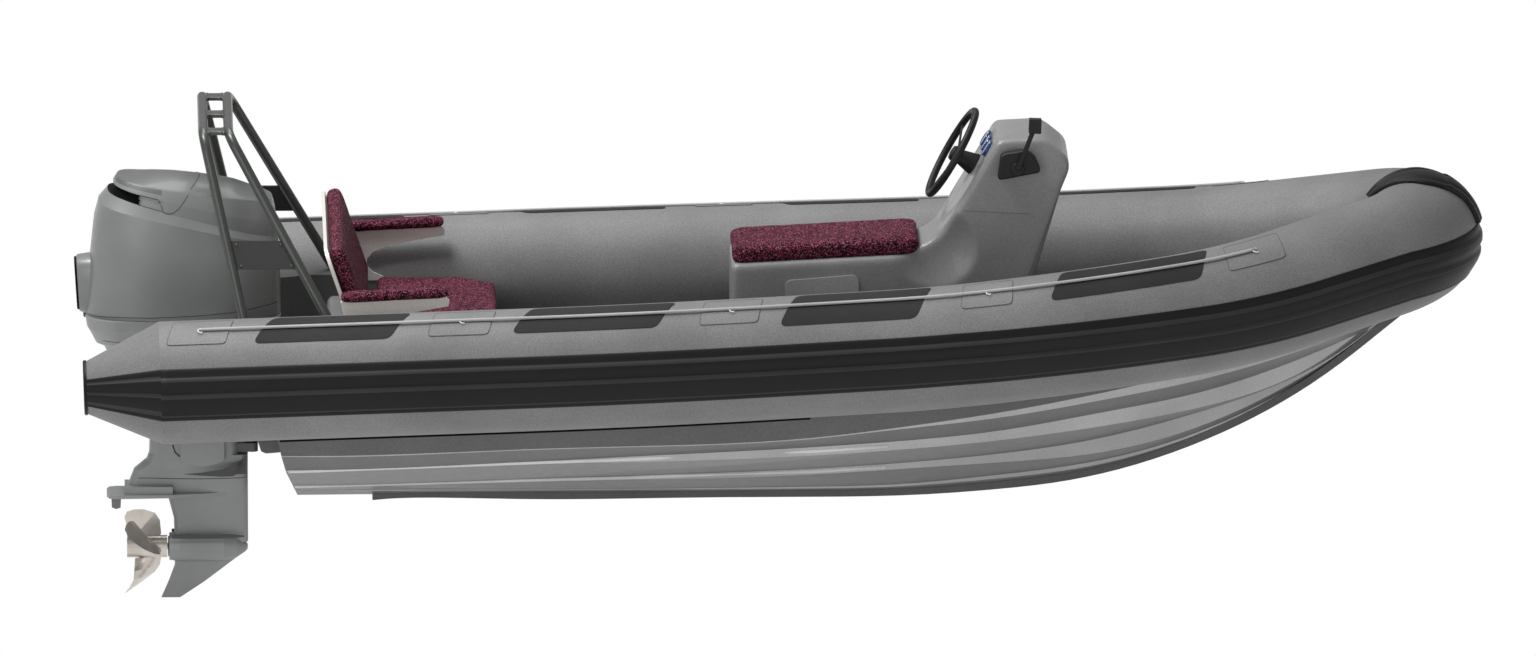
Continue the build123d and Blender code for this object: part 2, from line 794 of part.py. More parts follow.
with BuildPart() as propeller:
    with BuildSketch(Plane.YZ.offset(-623)):
        with Locations((0, PROP_Z)):
            Circle(41)
    extrude(amount=147)
    with BuildSketch(Plane.YZ.offset(-480)):
        with Locations((0, PROP_Z)):
            Circle(12)
    extrude(amount=75)
    hub_axis = Axis((0, 0, PROP_Z), (1, 0, 0))
    for turn in (0, 120, 240):
        add(blade.part.rotate(hub_axis, turn))
PIECES["propeller"] = propeller


# ---------------------------------------------------------------- steering wheel

with BuildPart() as wheel_rim:
    with BuildSketch(Plane(origin=wheel_plane.origin, x_dir=wheel_normal, z_dir=(0, -1, 0))):
        with Locations((0, WHEEL_R)):
            Circle(RIM_R)
    revolve(axis=Axis(WHEEL_CENTRE, wheel_normal))
PIECES["wheel_rim"] = wheel_rim

with BuildPart() as wheel_spokes:
    with BuildSketch(wheel_plane.offset(-24)):
        Circle(30)
    extrude(amount=34)
    with BuildSketch(wheel_plane.offset(-5)):
        for turn in (90, 210, 330):
            with Locations(Location((0, 0), turn)):
                with Locations((WHEEL_R / 2, 0)):
                    Rectangle(WHEEL_R, 26)
    extrude(amount=8)
    with BuildSketch(wheel_plane.offset(-66)):
        Circle(10)
    extrude(amount=50)
    add(wheel_rim.part, mode=Mode.SUBTRACT)
    for crumb in wheel_spokes.solids().sort_by(SortBy.VOLUME)[:-1]:
        add(crumb, mode=Mode.SUBTRACT)
PIECES["wheel_spokes"] = wheel_spokes

for label, piece in PIECES.items():
    piece.part.label = label
    export_step(piece.part, f"parts/{label}.step")
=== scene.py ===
# %% [markdown]
# # A rigid inflatable boat, dressed for the studio
# The boat's construction comes in as a finished frame: hull, collar, seats, arch and motor at their
# real size, in metres, with +X to the bow, +Y to port and the waterline at Z = 0. This file gives
# each surface its finish and adds what is soft, glued, ribbed or repeated.

# %% Load the frame
from contextlib import contextmanager
from math import atan2, cos, hypot, pi, radians, sin, tan

import bmesh
import bpy
from mathutils import Matrix, Vector
from mathutils.bvhtree import BVHTree


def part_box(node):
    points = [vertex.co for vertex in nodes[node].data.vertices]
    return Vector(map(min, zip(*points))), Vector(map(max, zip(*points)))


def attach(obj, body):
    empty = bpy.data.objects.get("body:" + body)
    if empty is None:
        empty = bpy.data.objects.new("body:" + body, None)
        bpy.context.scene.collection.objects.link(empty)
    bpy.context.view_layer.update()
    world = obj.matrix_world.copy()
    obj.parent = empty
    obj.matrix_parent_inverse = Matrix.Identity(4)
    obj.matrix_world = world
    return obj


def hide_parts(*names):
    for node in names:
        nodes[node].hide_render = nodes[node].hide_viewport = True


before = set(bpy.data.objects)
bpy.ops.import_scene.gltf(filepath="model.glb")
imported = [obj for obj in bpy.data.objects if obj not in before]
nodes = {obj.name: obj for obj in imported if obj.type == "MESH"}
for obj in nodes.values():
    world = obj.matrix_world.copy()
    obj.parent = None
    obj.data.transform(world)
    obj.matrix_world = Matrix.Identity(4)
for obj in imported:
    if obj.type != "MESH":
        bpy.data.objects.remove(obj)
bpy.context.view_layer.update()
X_AXIS, Y_AXIS, Z_AXIS = Vector((1, 0, 0)), Vector((0, 1, 0)), Vector((0, 0, 1))
BOTH_SIDES = (-1, 1)      # starboard, port

# %% [markdown]
# ## Nodes and objects
# Shaders and Geometry Nodes trees are both grown node by node, and each new object goes straight
# into the scene.

# %% Helpers for nodes and objects


def grow(tree, kind, inputs=None, **settings):
    """Add a node, set it up, and give its inputs a value or a link, by name or by number."""
    node = tree.nodes.new(kind)
    for key, value in settings.items():
        setattr(node, key, value)
    for key, value in (inputs or {}).items():
        if isinstance(value, bpy.types.NodeSocket):
            tree.links.new(value, node.inputs[key])
        else:
            node.inputs[key].default_value = value
    return node


def placed(name, data):
    """A new object in the scene."""
    item = bpy.data.objects.new(name, data)
    bpy.context.scene.collection.objects.link(item)
    return item


# %% [markdown]
# ## Camera
# A boat is long, and a short lens close by would swell its near end. A very long lens from far away
# keeps the sides parallel. The camera stands to starboard and looks down by thirteen degrees.

# %% Camera
PICTURE_W = 1536
PICTURE_CENTRE = (768, 328)
METRE_PX = 274.20       # size of one metre along the boat, in a picture 1536 pixels wide
METRE_UP_PX = 267.7     # size of one metre upwards
METRE_RISE_PX = 1.51    # how much higher a point one metre further forward appears
HEEL_PX = (297, 495.4)  # the keel line's after end, at X = 0
CAMERA_FAR = 112.0
CAMERA_AZIMUTH = radians(-1.4)
CAMERA_LIFT = radians(13.0)
SENSOR_MM = 36.0
DRAUGHT = 0.300


def sight_point(x_px, y_px):
    """Point on the centre line that appears at this pixel of the 1536 by 656 picture."""
    x = (x_px - HEEL_PX[0]) / METRE_PX
    z = (HEEL_PX[1] - y_px - METRE_RISE_PX * x) / METRE_UP_PX - DRAUGHT
    return Vector((x, 0, z))


away = Vector(
    (
        sin(CAMERA_AZIMUTH) * cos(CAMERA_LIFT),
        -cos(CAMERA_AZIMUTH) * cos(CAMERA_LIFT),
        sin(CAMERA_LIFT),
    )
)
camera = placed("camera", bpy.data.cameras.new("camera"))
camera.location = sight_point(*PICTURE_CENTRE) + away * CAMERA_FAR
camera.rotation_euler = (-away).to_track_quat("-Z", "Y").to_euler()
camera.data.sensor_width = SENSOR_MM
camera.data.lens = SENSOR_MM * CAMERA_FAR * METRE_PX / PICTURE_W
camera.data.clip_end = 1000.0
bpy.context.scene.camera = camera
print("lens", round(camera.data.lens, 1), "mm at", CAMERA_FAR, "m")

# %% [markdown]
# ## Finishes
# A finish is a Principled shader with a little help: grain, larger clouds of tone, and a bump. A few
# helpers keep each recipe short. All patterns read Object coordinates, which are metres here, so a
# noise scale of 300 is a grain of about 3 mm on every piece.

# %% Helpers for finishes


class Finish:
    """A material with its shader, and nodes that are added by name."""

    def __init__(self, name, roughness, metallic=0.0, **sockets):
        self.material = bpy.data.materials.new(name)
        self.material.use_nodes = True
        self.tree = self.material.node_tree
        self.shader = self.tree.nodes["Principled BSDF"]
        self.set("Roughness", roughness)
        self.set("Metallic", metallic)
        for socket, value in sockets.items():
            self.set(socket.replace("_", " "), value)
        self.place = self.add("ShaderNodeTexCoord").outputs["Object"]

    def set(self, socket, value):
        self.shader.inputs[socket].default_value = value

    def join(self, output, socket):
        self.tree.links.new(output, self.shader.inputs[socket])

    def add(self, kind, inputs=None, **settings):
        return grow(self.tree, kind, inputs, **settings)

    def noise(self, scale, detail=2.0):
        inputs = {"Vector": self.place, "Scale": scale, "Detail": detail, "Roughness": 0.5}
        return self.add("ShaderNodeTexNoise", inputs).outputs["Fac"]

    def cells(self, scale):
        """A Voronoi pattern of cells."""
        inputs = {"Vector": self.place, "Scale": scale}
        return self.add("ShaderNodeTexVoronoi", inputs, feature="F1").outputs

    def ramp(self, factor, *stops):
        """Colours along a factor; each stop is a position and a grey level or a colour."""
        node = self.add("ShaderNodeValToRGB", {"Fac": factor})
        elements = node.color_ramp.elements
        while len(elements) < len(stops):
            elements.new(0.5)
        for element, (position, colour) in zip(elements, stops):
            element.position = position
            element.color = shade(colour)
        return node.outputs["Color"]

    def multiply(self, first, second):
        inputs = {0: 1.0, 6: first, 7: second}
        return self.add("ShaderNodeMix", inputs, data_type="RGBA", blend_type="MULTIPLY").outputs[2]

    def rough(self, factor, low, high):
        node = self.add("ShaderNodeMapRange", {"Value": factor, "To Min": low, "To Max": high})
        self.join(node.outputs["Result"], "Roughness")

    def bump(self, height, distance, strength):
        inputs = {"Height": height, "Distance": distance, "Strength": strength}
        self.join(self.add("ShaderNodeBump", inputs).outputs["Normal"], "Normal")


def shade(value):
    """A linear colour from an sRGB grey level or an sRGB hex string."""
    if isinstance(value, str):
        value = [int(value[i : i + 2], 16) / 255 for i in (0, 2, 4)]
    else:
        value = [value] * 3
    linear = [c / 12.92 if c <= 0.04045 else ((c + 0.055) / 1.055) ** 2.4 for c in value]
    return (*linear, 1.0)


def grained(name, dark, light, roughness, grain=260, clouds=3.0, spread=0.10, **sockets):
    """Moulded or coated surface: fine grain between two tones, with faint larger clouds."""
    finish = Finish(name, roughness, **sockets)
    fine = finish.noise(grain, 1.0)
    tones = finish.ramp(fine, (0.3, dark), (0.7, light))
    large = finish.ramp(finish.noise(clouds, 3.0), (0.3, 1 - spread), (0.7, 1.0))
    finish.join(finish.multiply(tones, large), "Base Color")
    finish.rough(finish.noise(clouds * 9, 2.0), roughness - 0.05, roughness + 0.07)
    return finish


# %% Coated fabric, rubber and gelcoats
tube_fabric = grained("tube_fabric", "707070", "888888", 0.5, Specular_IOR_Level=0.25)
tube_fabric.bump(tube_fabric.noise(1400, 1.0), 0.0004, 0.25)
patch_fabric = grained("wear_patch_fabric", "292929", "333333", 0.7, grain=700, Specular_IOR_Level=0.15)
patch_fabric.bump(patch_fabric.noise(900, 1.0), 0.0006, 0.5)
black_rubber = grained("black_rubber", "121212", "1a1a1a", 0.5, grain=500, Specular_IOR_Level=0.22)
black_rubber.bump(black_rubber.noise(600), 0.0004, 0.3)
# A lighter copy of the black rubber: painted highlight on the up-facing shoulders of the strake's ribs.
rubber_painted_highlight = grained("rubber_painted_highlight", "2c2c2c", "383838", 0.5, grain=500, Specular_IOR_Level=0.22)
grey_gelcoat = grained("grey_gelcoat", "545454", "666666", 0.45, grain=230, Coat_Weight=0.08)
# Lighter gelcoat for the rails' steep outer faces: a painted highlight.
rail_painted_highlight = grained("rail_painted_highlight", "b4b4b4", "c4c4c4", 0.4, grain=230, Coat_Weight=0.08)
keel_rubber = grained("keel_rubber", "555555", "636363", 0.55, grain=300)
deck_gelcoat = grained("deck_gelcoat", "606162", "76777a", 0.6, grain=200)
deck_gelcoat.bump(deck_gelcoat.cells(160.0)["Distance"], 0.002, 0.5)
helm_gelcoat = grained("helm_gelcoat", "7e7e7e", "909090", 0.42, grain=250, Coat_Weight=0.15)
white_gelcoat = grained(
    "white_gelcoat", "dcd7d1", "e8e3dd", 0.3, grain=150, spread=0.04, Coat_Weight=0.3
)
print("fabric, rubber and gelcoat finishes:", len(bpy.data.materials))

# %% Cushion cover
cushion_vinyl = Finish("cushion_vinyl", 0.85, Specular_IOR_Level=0.15)
THREADS = ((0.30, "0c060a"), (0.42, "3a1226"), (0.55, "6e243e"), (0.70, "a03c5e"), (0.86, "b47a8a"))
threads = cushion_vinyl.ramp(cushion_vinyl.cells(250.0)["Color"], *THREADS)
weave = cushion_vinyl.ramp(cushion_vinyl.noise(210), (0.35, 0.60), (0.65, 0.86))
cushion_vinyl.join(cushion_vinyl.multiply(threads, weave), "Base Color")
cushion_vinyl.bump(cushion_vinyl.noise(300, 1.0), 0.0008, 0.35)

# %% Metals, paints and plastics
arch_metal = grained("arch_metal", "464946", "505350", 0.36, grain=300, metallic=0.35, Coat_Weight=0.2)
leg_shadow = grained("leg_shadow", "3e403f", "484a49", 0.5, grain=600)
# A lighter copy of the moulding's grey for the seat hatch: a painted highlight on its raised outline.
hatch_painted_highlight = grained("hatch_painted_highlight", "969696", "a4a4a4", 0.5, grain=240)
# Near white for the beads along two rails: a painted highlight.
rail_line_highlight = grained("rail_line_highlight", "dedede", "eeeeee", 0.35, grain=230)
# A darker copy of the cowl's paint for the hood's top: painted shade on the up-facing top.
hood_painted_shade = grained("hood_painted_shade", "5c5e5d", "686a69", 0.42, grain=900, metallic=0.15, Coat_Weight=0.1)
cowl_paint = grained("cowl_paint", "7c7e7d", "868887", 0.40, grain=900, metallic=0.15, Coat_Weight=0.1)
gusset_paint = grained("gusset_paint", "343334", "3c3b3c", 0.5, grain=300, metallic=0.2)
# Dark grey for the stern corners: painted shade, so they sink into the shadow inside the tube.
painted_shade_gelcoat = grained("painted_shade_gelcoat", "424242", "4c4c4c", 0.6, grain=230)
# A lighter copy of the cowl's grey for the leg, gearcase and lower cowl: painted light on their side
# and downward faces.
motor_paint = grained(
    "motor_paint", "8a8c8b", "969897", 0.44, grain=900, metallic=0.15, Coat_Weight=0.05
)
bracket_paint = grained("bracket_paint", "505252", "5c5e5e", 0.45, grain=400, metallic=0.3)
anode_zinc = grained("anode_zinc", "6c6e70", "84868a", 0.6, grain=180, metallic=0.4)
stainless = Finish("stainless", 0.3, metallic=0.8)
stainless.join(stainless.ramp(stainless.noise(12), (0.3, "c2bab0"), (0.7, "d2ccc4")), "Base Color")
stainless.rough(stainless.noise(60), 0.26, 0.34)
dark_plastic = grained("dark_plastic", "161617", "1e1e20", 0.5, grain=500, Specular_IOR_Level=0.3)
dark_plastic.bump(dark_plastic.noise(800, 1.0), 0.0004, 0.35)
# Black for the cowl's slot and the boss's back, and painted shadow on the slot's step and in the bead
# under the collar.
black_and_painted_shadow = grained("black_and_painted_shadow", "050505", "0a0a0a", 0.7, grain=300, Specular_IOR_Level=0.1)
glue_line = grained("glue_line", "565656", "626262", 0.7, grain=300)
# Dark grey for seams, and for lines of painted shade on the leg.
seam_and_shade_grey = grained("seam_and_shade_grey", "3a3a3a", "444444", 0.7, grain=300, Specular_IOR_Level=0.1)
eye_white = grained("eye_white", "e2e2e2", "f0f0f0", 0.4, grain=300)
line_rope = grained("grab_line_rope", "a6a6a6", "bebebe", 0.6, grain=500)
gauge_blue = Finish("gauge_face", 0.12, Coat_Weight=0.6)
gauge_blue.join(gauge_blue.ramp(gauge_blue.noise(60), (0.3, "103468"), (0.7, "184c8e")), "Base Color")

# %% Finishes of the frame's own nodes
NODE_FINISH = {
    tube_fabric: ("collar_port", "collar_starboard", "cone_port", "cone_starboard"),
    black_rubber: ("cone_caps",),
    grey_gelcoat: ("hull", "transom"),
    painted_shade_gelcoat: ("stern_corners",),
    keel_rubber: ("keel_guard",),
    deck_gelcoat: ("deck", "bow_step"),
    helm_gelcoat: ("bench_base",),
    hatch_painted_highlight: ("seat_hatch",),
    white_gelcoat: ("back_shell", "arm_wings"),
    arch_metal: ("arch_rear_hoop", "arch_front_hoop"),
    gusset_paint: ("arch_gussets",),
    bracket_paint: ("clamp_bracket", "swivel_bracket", "kingpin"),
    motor_paint: ("motor_leg", "gearcase", "lower_cowl"),
    anode_zinc: ("trim_tab",),
    stainless: ("propeller",),
    dark_plastic: ("helm_column",),
}
for finish, names in NODE_FINISH.items():
    for name in names:
        for slot in nodes[name].material_slots:
            slot.material = finish.material
print("finished nodes", sum(len(names) for names in NODE_FINISH.values()))

# %% [markdown]
# ## Studio
# A pale floor and a plain world. The floor lies just under the motor's skeg, since the whole hull
# and the propeller show. To the camera, floor and sky are plain white, and so is the floor in
# reflections, while the floor still keeps the boat's soft shadow.

# %% Studio
FLOOR_Z = -0.70
FLOOR_CORNERS = [(-60, -60), (60, -60), (60, 120), (-60, 120)]
WHITE = (1, 1, 1, 1)
LAMPS = [
    # name, place, size, power and what it aims at
    ("key", (-2.5, -0.9, 9.0), 4.0, 850, (1.4, 0, 0.3)),
    ("fill", (-3.5, -8.5, 2.2), 5.0, 135, (1.0, 0, 0.2)),
    ("back", (0.5, 4.0, 8.0), 4.0, 230, (1.8, 0, 0.4)),
    ("bow fill", (6.5, -6.0, -0.1), 3.0, 50, (3.2, -0.6, 0.2)),
]
for name, spot, size, power, aim in LAMPS:
    lamp = placed(name, bpy.data.lights.new(name, "AREA"))
    lamp.data.shape = "DISK"
    lamp.data.size = size
    lamp.data.energy = power
    lamp.location = spot
    lamp.rotation_euler = (Vector(aim) - Vector(spot)).to_track_quat("-Z", "Y").to_euler()

floor_mesh = bpy.data.meshes.new("floor")
floor_mesh.from_pydata([(x, y, FLOOR_Z) for x, y in FLOOR_CORNERS], [], [(0, 1, 2, 3)])
floor = placed("floor", floor_mesh)
floor_finish = Finish("floor", 0.9)
floor_finish.join(floor_finish.ramp(floor_finish.noise(2), (0.3, 0.9), (0.7, 0.91)), "Base Color")
floor_finish.set("Emission Color", WHITE)
floor_finish.set("Emission Strength", 0.06)
rays = floor_finish.add("ShaderNodeLightPath").outputs
glow = floor_finish.add("ShaderNodeEmission", {"Color": WHITE, "Strength": 1.0})
seen = floor_finish.add(
    "ShaderNodeMath", {0: rays["Is Camera Ray"], 1: rays["Is Glossy Ray"]}, operation="MAXIMUM"
)
blend = floor_finish.add(
    "ShaderNodeMixShader", {0: seen.outputs[0], 1: floor_finish.shader.outputs[0], 2: glow.outputs[0]}
)
floor_finish.tree.links.new(
    blend.outputs[0], floor_finish.tree.nodes["Material Output"].inputs["Surface"]
)
floor_mesh.materials.append(floor_finish.material)

world = bpy.data.worlds.new("studio")
bpy.context.scene.world = world
world.use_nodes = True
sky = world.node_tree
dim = sky.nodes["Background"]
dim.inputs["Color"].default_value = (0.95, 0.95, 0.95, 1)
dim.inputs["Strength"].default_value = 0.36
bright = grow(sky, "ShaderNodeBackground", {"Color": WHITE})
sky_rays = grow(sky, "ShaderNodeLightPath")
sky_mix = grow(
    sky,
    "ShaderNodeMixShader",
    {0: sky_rays.outputs["Is Camera Ray"], 1: dim.outputs[0], 2: bright.outputs[0]},
)
sky.links.new(sky_mix.outputs[0], sky.nodes["World Output"].inputs["Surface"])
bpy.context.scene.view_settings.view_transform = "Standard"
print("lamps", [light.name for light in bpy.data.lights])

# %% [markdown]
# ## Shared mesh helpers
# Most added pieces are strips, skins or short solids. A solid is kept as its points and its faces
# until it becomes a piece, which stands in the boat's frame, rides on one body and has its faces
# pointing outwards.

# %% Shared mesh helpers


@contextmanager
def edited(mesh):
    """A mesh opened for editing, and written back afterwards."""
    shell = bmesh.new()
    shell.from_mesh(mesh)
    yield shell
    shell.to_mesh(mesh)
    shell.free()


def mesh_piece(name, verts, faces, finish, body="boat"):
    """A new piece from points and faces, riding on a body."""
    mesh = bpy.data.meshes.new(name)
    mesh.from_pydata([tuple(v) for v in verts], [], faces)
    return finish_mesh(name, mesh, finish, body)


def finish_mesh(name, mesh, finish, body="boat"):
    """The same from a mesh: welded, turned outwards, coated and shaded smooth."""
    with edited(mesh) as shell:
        bmesh.ops.remove_doubles(shell, verts=shell.verts, dist=1e-6)
        bmesh.ops.recalc_face_normals(shell, faces=shell.faces)
    mesh.materials.clear()
    mesh.materials.append(finish.material)
    mesh.polygons.foreach_set("use_smooth", [True] * len(mesh.polygons))
    mesh.update()
    piece = placed(name, mesh)
    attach(piece, body)
    return piece


def crisp(piece, angle=35):
    """Shade smooth, but keep the edges that are sharper than this angle."""
    with edited(piece.data) as shell:
        for edge in shell.edges:
            if len(edge.link_faces) == 2 and edge.calc_face_angle(0) > radians(angle):
                edge.smooth = False
    return piece


def eased(piece, width, segments=2, angle=30):
    """Round a piece's edges by a modifier, and keep it crisp."""
    rounding = piece.modifiers.new("bevel", "BEVEL")
    rounding.width = width
    rounding.segments = segments
    return crisp(piece, angle)


def solid(mesh):
    """Points and faces of a mesh."""
    return [v.co.copy() for v in mesh.vertices], [tuple(p.vertices) for p in mesh.polygons]


def joined(solids):
    """Points and faces of several solids as one."""
    verts, faces = [], []
    for more_verts, more_faces in solids:
        faces += [tuple(len(verts) + i for i in face) for face in more_faces]
        verts += more_verts
    return verts, faces


def with_mirror(verts, faces):
    """A solid, with the same on the other side of the boat."""
    count = len(verts)
    other = [Vector((v[0], -v[1], v[2])) for v in verts]
    return list(verts) + other, list(faces) + [tuple(count + i for i in reversed(f)) for f in faces]


def prism(low, high):
    """A solid between two outlines of as many points."""
    count = len(low)
    faces = [(i, (i + 1) % count, count + (i + 1) % count, count + i) for i in range(count)]
    return [*low, *high], faces + [tuple(range(count)), tuple(range(count, 2 * count))]


def plate(outline, y_from, y_to):
    """A plate on an x, z outline, from y to y."""
    return prism(*([(x, y, z) for x, z in outline] for y in (y_from, y_to)))


def ring_stack(rings):
    """A solid skinned over rings of as many points, and closed at both ends."""
    count = len(rings[0])
    verts = [point for one in rings for point in one]
    faces = []
    for a in range(0, len(verts) - count, count):
        for i in range(count):
            j = (i + 1) % count
            faces.append((a + i, a + j, a + count + j, a + count + i))
    return verts, faces + [tuple(reversed(range(count))), tuple(range(len(verts) - count, len(verts)))]


def turned(profile, centre, axis, side, up, count=40):
    """A turned solid, from rows of radius and distance along its axis."""
    ways = [side * cos(2 * pi * i / count) + up * sin(2 * pi * i / count) for i in range(count)]
    return ring_stack(
        [[centre + axis * along + way * radius for way in ways] for radius, along in profile]
    )


def bevelled(verts, faces, offset, chosen=None):
    """Mesh of a solid, with its chosen edges, or all of them, rounded in four steps."""
    mesh = bpy.data.meshes.new("block")
    mesh.from_pydata([tuple(v) for v in verts], [], faces)
    with edited(mesh) as shell:
        bmesh.ops.recalc_face_normals(shell, faces=shell.faces)
        edges = [edge for edge in shell.edges if chosen is None or chosen(edge)]
        bmesh.ops.bevel(shell, geom=edges, offset=offset, segments=4, profile=0.5, affect="EDGES")
        bmesh.ops.recalc_face_normals(shell, faces=shell.faces)
    return mesh


def evaluated(carrier):
    """The mesh that an object's modifiers make."""
    depsgraph = bpy.context.evaluated_depsgraph_get()
    return bpy.data.meshes.new_from_object(carrier.evaluated_get(depsgraph))


def applied(carrier):
    """The same, after which the object and its modifiers are gone."""
    mesh = evaluated(carrier)
    bpy.data.objects.remove(carrier)
    return mesh


def remeshed(mesh, voxel):
    """A closed mesh again, with faces of an even size."""
    carrier = placed("remesh", mesh)
    remesh = carrier.modifiers.new("remesh", "REMESH")
    remesh.mode = "VOXEL"
    remesh.voxel_size = voxel
    return applied(carrier)


# %% [markdown]
# ## Things that follow a line
# Rubbing strakes, lines and seams all have one section along a path. One Geometry Nodes tree does
# them: it turns a chain of points into a curve, aims the section with the attribute `facing`, and
# sweeps it. The mesh is then taken out and mirrored where the boat has one on each side.

# %% The tree that sweeps a section along a path


def new_tree(name, **sockets):
    """An empty tree, its inputs, and the way that each point faces."""
    tree = bpy.data.node_groups.new(name, "GeometryNodeTree")
    for label, kind in sockets.items():
        tree.interface.new_socket(label, in_out="INPUT", socket_type="NodeSocket" + kind)
    tree.interface.new_socket("Solid", in_out="OUTPUT", socket_type="NodeSocketGeometry")
    facing = grow(tree, "GeometryNodeInputNamedAttribute", {0: "facing"}, data_type="FLOAT_VECTOR")
    return tree, grow(tree, "NodeGroupInput").outputs, facing.outputs[0]


def close_tree(tree, geometry):
    """Lead real geometry to the tree's output."""
    real = grow(tree, "GeometryNodeRealizeInstances", {0: geometry})
    grow(tree, "NodeGroupOutput", {0: real.outputs[0]})


def grown(tree, rows, edges=(), **inputs):
    """The mesh that a tree makes from rows of (point, facing)."""
    path = bpy.data.meshes.new("path")
    path.from_pydata([tuple(point) for point, _ in rows], list(edges), [])
    layer = path.attributes.new("facing", "FLOAT_VECTOR", "POINT")
    for item, (_, way) in zip(layer.data, rows):
        item.vector = way
    carrier = placed("path", path)
    modifier = carrier.modifiers.new("grow", "NODES")
    modifier.node_group = tree
    for label, value in inputs.items():
        modifier[tree.interface.items_tree[label].identifier] = value
    return applied(carrier)


sweep_tree, given, facing = new_tree("sweep_section", Path="Geometry", Section="Object")
chain = grow(sweep_tree, "GeometryNodeMeshToCurve", {0: given["Path"]})
aimed = grow(
    sweep_tree, "GeometryNodeSetCurveNormal", {0: chain.outputs[0], "Normal": facing}, mode="FREE"
)
drawn = grow(sweep_tree, "GeometryNodeObjectInfo", {0: given["Section"]})
section_line = grow(sweep_tree, "GeometryNodeMeshToCurve", {0: drawn.outputs["Geometry"]})
swept = grow(
    sweep_tree,
    "GeometryNodeCurveToMesh",
    {0: aimed.outputs[0], 1: section_line.outputs[0], "Fill Caps": True},
)
close_tree(sweep_tree, swept.outputs[0])


def ring(radius, count=12, flat=1.0):
    """A round section, or one squeezed across."""
    turns = [2 * pi * i / count for i in range(count)]
    return [(flat * radius * cos(a), radius * sin(a)) for a in turns]


def swept_solid(rows, section, closed=False):
    """A section swept along rows of (point, facing)."""
    count, sides = len(rows), len(section)
    edges = [(i, i + 1) for i in range(count - 1)] + ([(count - 1, 0)] if closed else [])
    around = [(i, (i + 1) % sides) for i in range(sides)]
    outline = bpy.data.meshes.new("section")
    outline.from_pydata([(x, y, 0) for x, y in section], around, [])
    drawn_section = placed("section", outline)
    mesh = grown(sweep_tree, rows, edges, Section=drawn_section)
    bpy.data.objects.remove(drawn_section)
    return solid(mesh)


# %% [markdown]
# ## The tube's own coordinates
# Everything glued to the collar sits at a station along it and at an angle round it. The centre
# line is straight runs joined by arcs. Stations every 25 mm give a point, a direction and the way
# out from the boat, and `on_tube` turns a station and an angle into a point on the skin.

# %% Stations along the tube
TUBE_R = 0.2225
TUBE_ROUTE = [
    # x, y, z of the centre line, and how far the bend reaches from the corner
    (-0.5, 0.7925, 0.307, 0),
    (1.25, 0.7925, 0.361, 0.48),
    (2.35, 0.722, 0.404, 0.24),
    (2.9, 0.625, 0.448, 0.23),
    (3.4, 0.495, 0.498, 0.23),
    (4.09, 0.155, 0.65, 0.152),
    (4.09, 0, 0.65, 0),
]
CONE_END = Vector((-0.768, 0.7925, 0.291))
CONE_END_R = 0.096
STATION_STEP = 0.025


def tube_stations():
    """Points and directions along the port tube, from the cone to the nose."""
    corners = [Vector(row[:3]) for row in TUBE_ROUTE]
    stations = []
    here = corners[0]
    for before, corner, after, row in zip(corners, corners[1:], corners[2:], TUBE_ROUTE[1:]):
        coming = (corner - before).normalized()
        going = (after - corner).normalized()
        start = corner - coming * row[3]
        turn = coming.angle(going)
        radius = row[3] / tan(turn / 2)
        inward = (going - coming * going.dot(coming)).normalized()
        count = max(1, round((start - here).length / STATION_STEP))
        stations += [(here.lerp(start, i / count), coming.copy()) for i in range(count)]
        count = max(4, round(radius * turn / STATION_STEP))
        for i in range(count):
            a = turn * i / count
            spot = start + coming * (radius * sin(a)) + inward * (radius * (1 - cos(a)))
            stations.append((spot, coming * cos(a) + inward * sin(a)))
        here = corner + going * row[3]
    return stations + [(here, going.copy()), (corners[-1], going.copy())]


def table_value(table, x, column=1):
    """Value from a table, with straight lines between its rows."""
    if x <= table[0][0]:
        return table[0][column]
    for here, there in zip(table, table[1:]):
        if x <= there[0]:
            return here[column] + (there[column] - here[column]) * (x - here[0]) / (there[0] - here[0])
    return table[-1][column]


def outward(direction):
    """The level way out from the boat, square to the tube."""
    return direction.cross(Vector((0, 0, -1))).normalized()


stations = tube_stations()
print("stations", len(stations))


def station_at(x):
    """Centre and direction of the port tube at this x, up to the start of the nose's bend."""
    for (p, d), (q, e) in zip(stations, stations[1:]):
        if p.x <= x <= q.x:
            share = (x - p.x) / (q.x - p.x)
            return p.lerp(q, share), d.lerp(e, share).normalized()
    return stations[0] if x < stations[0][0].x else stations[-1]


def on_tube(centre, direction, angle, extra=0.0, radius=TUBE_R):
    """Point of the skin at an angle in degrees above the equator, and the way out there."""
    out = outward(direction)
    up = direction.cross(out)
    normal = out * cos(radians(angle)) + up * sin(radians(angle))
    return centre + normal * (radius + extra), normal


# %% [markdown]
# ## Rubbing strake
# A moulded rubber profile is glued round the collar where the boat touches a quay. Two raised ribs
# run along it. The section is drawn once, in degrees round the tube and millimetres above its
# skin, and swept from the cone to the nose, where it sinks below the equator.

# %% Rubbing strake
STRAKE_SECTION = [
    # degrees above the equator, millimetres above the skin
    (-25.5, -6), (-25.4, 2.5), (-24.6, 4.6), (-22.4, 5), (-21.2, 3.6), (-19.5, 4.4),
    (-14, 6.5), (-9, 9.5), (-5, 11.8), (-2.5, 12), (-0.8, 11), (0.4, 8.2), (1.5, 5.6),
    (3, 5), (4.8, 5.4), (6.4, 8), (8, 11), (10.5, 12), (13, 12), (14.8, 10.8),
    (16, 8), (17.2, 5.6), (19, 5), (22, 4.8), (24.4, 4), (25.3, 2.2), (25.5, -6),
]
STRAKE_ROLL_FROM = 2.35
NOSE_X = TUBE_ROUTE[-1][0]
STRAKE_NOSE_ROLL = -10
STRAKE_END_SPREAD = 1.2                  # its angles widen by this at the small end of the cone
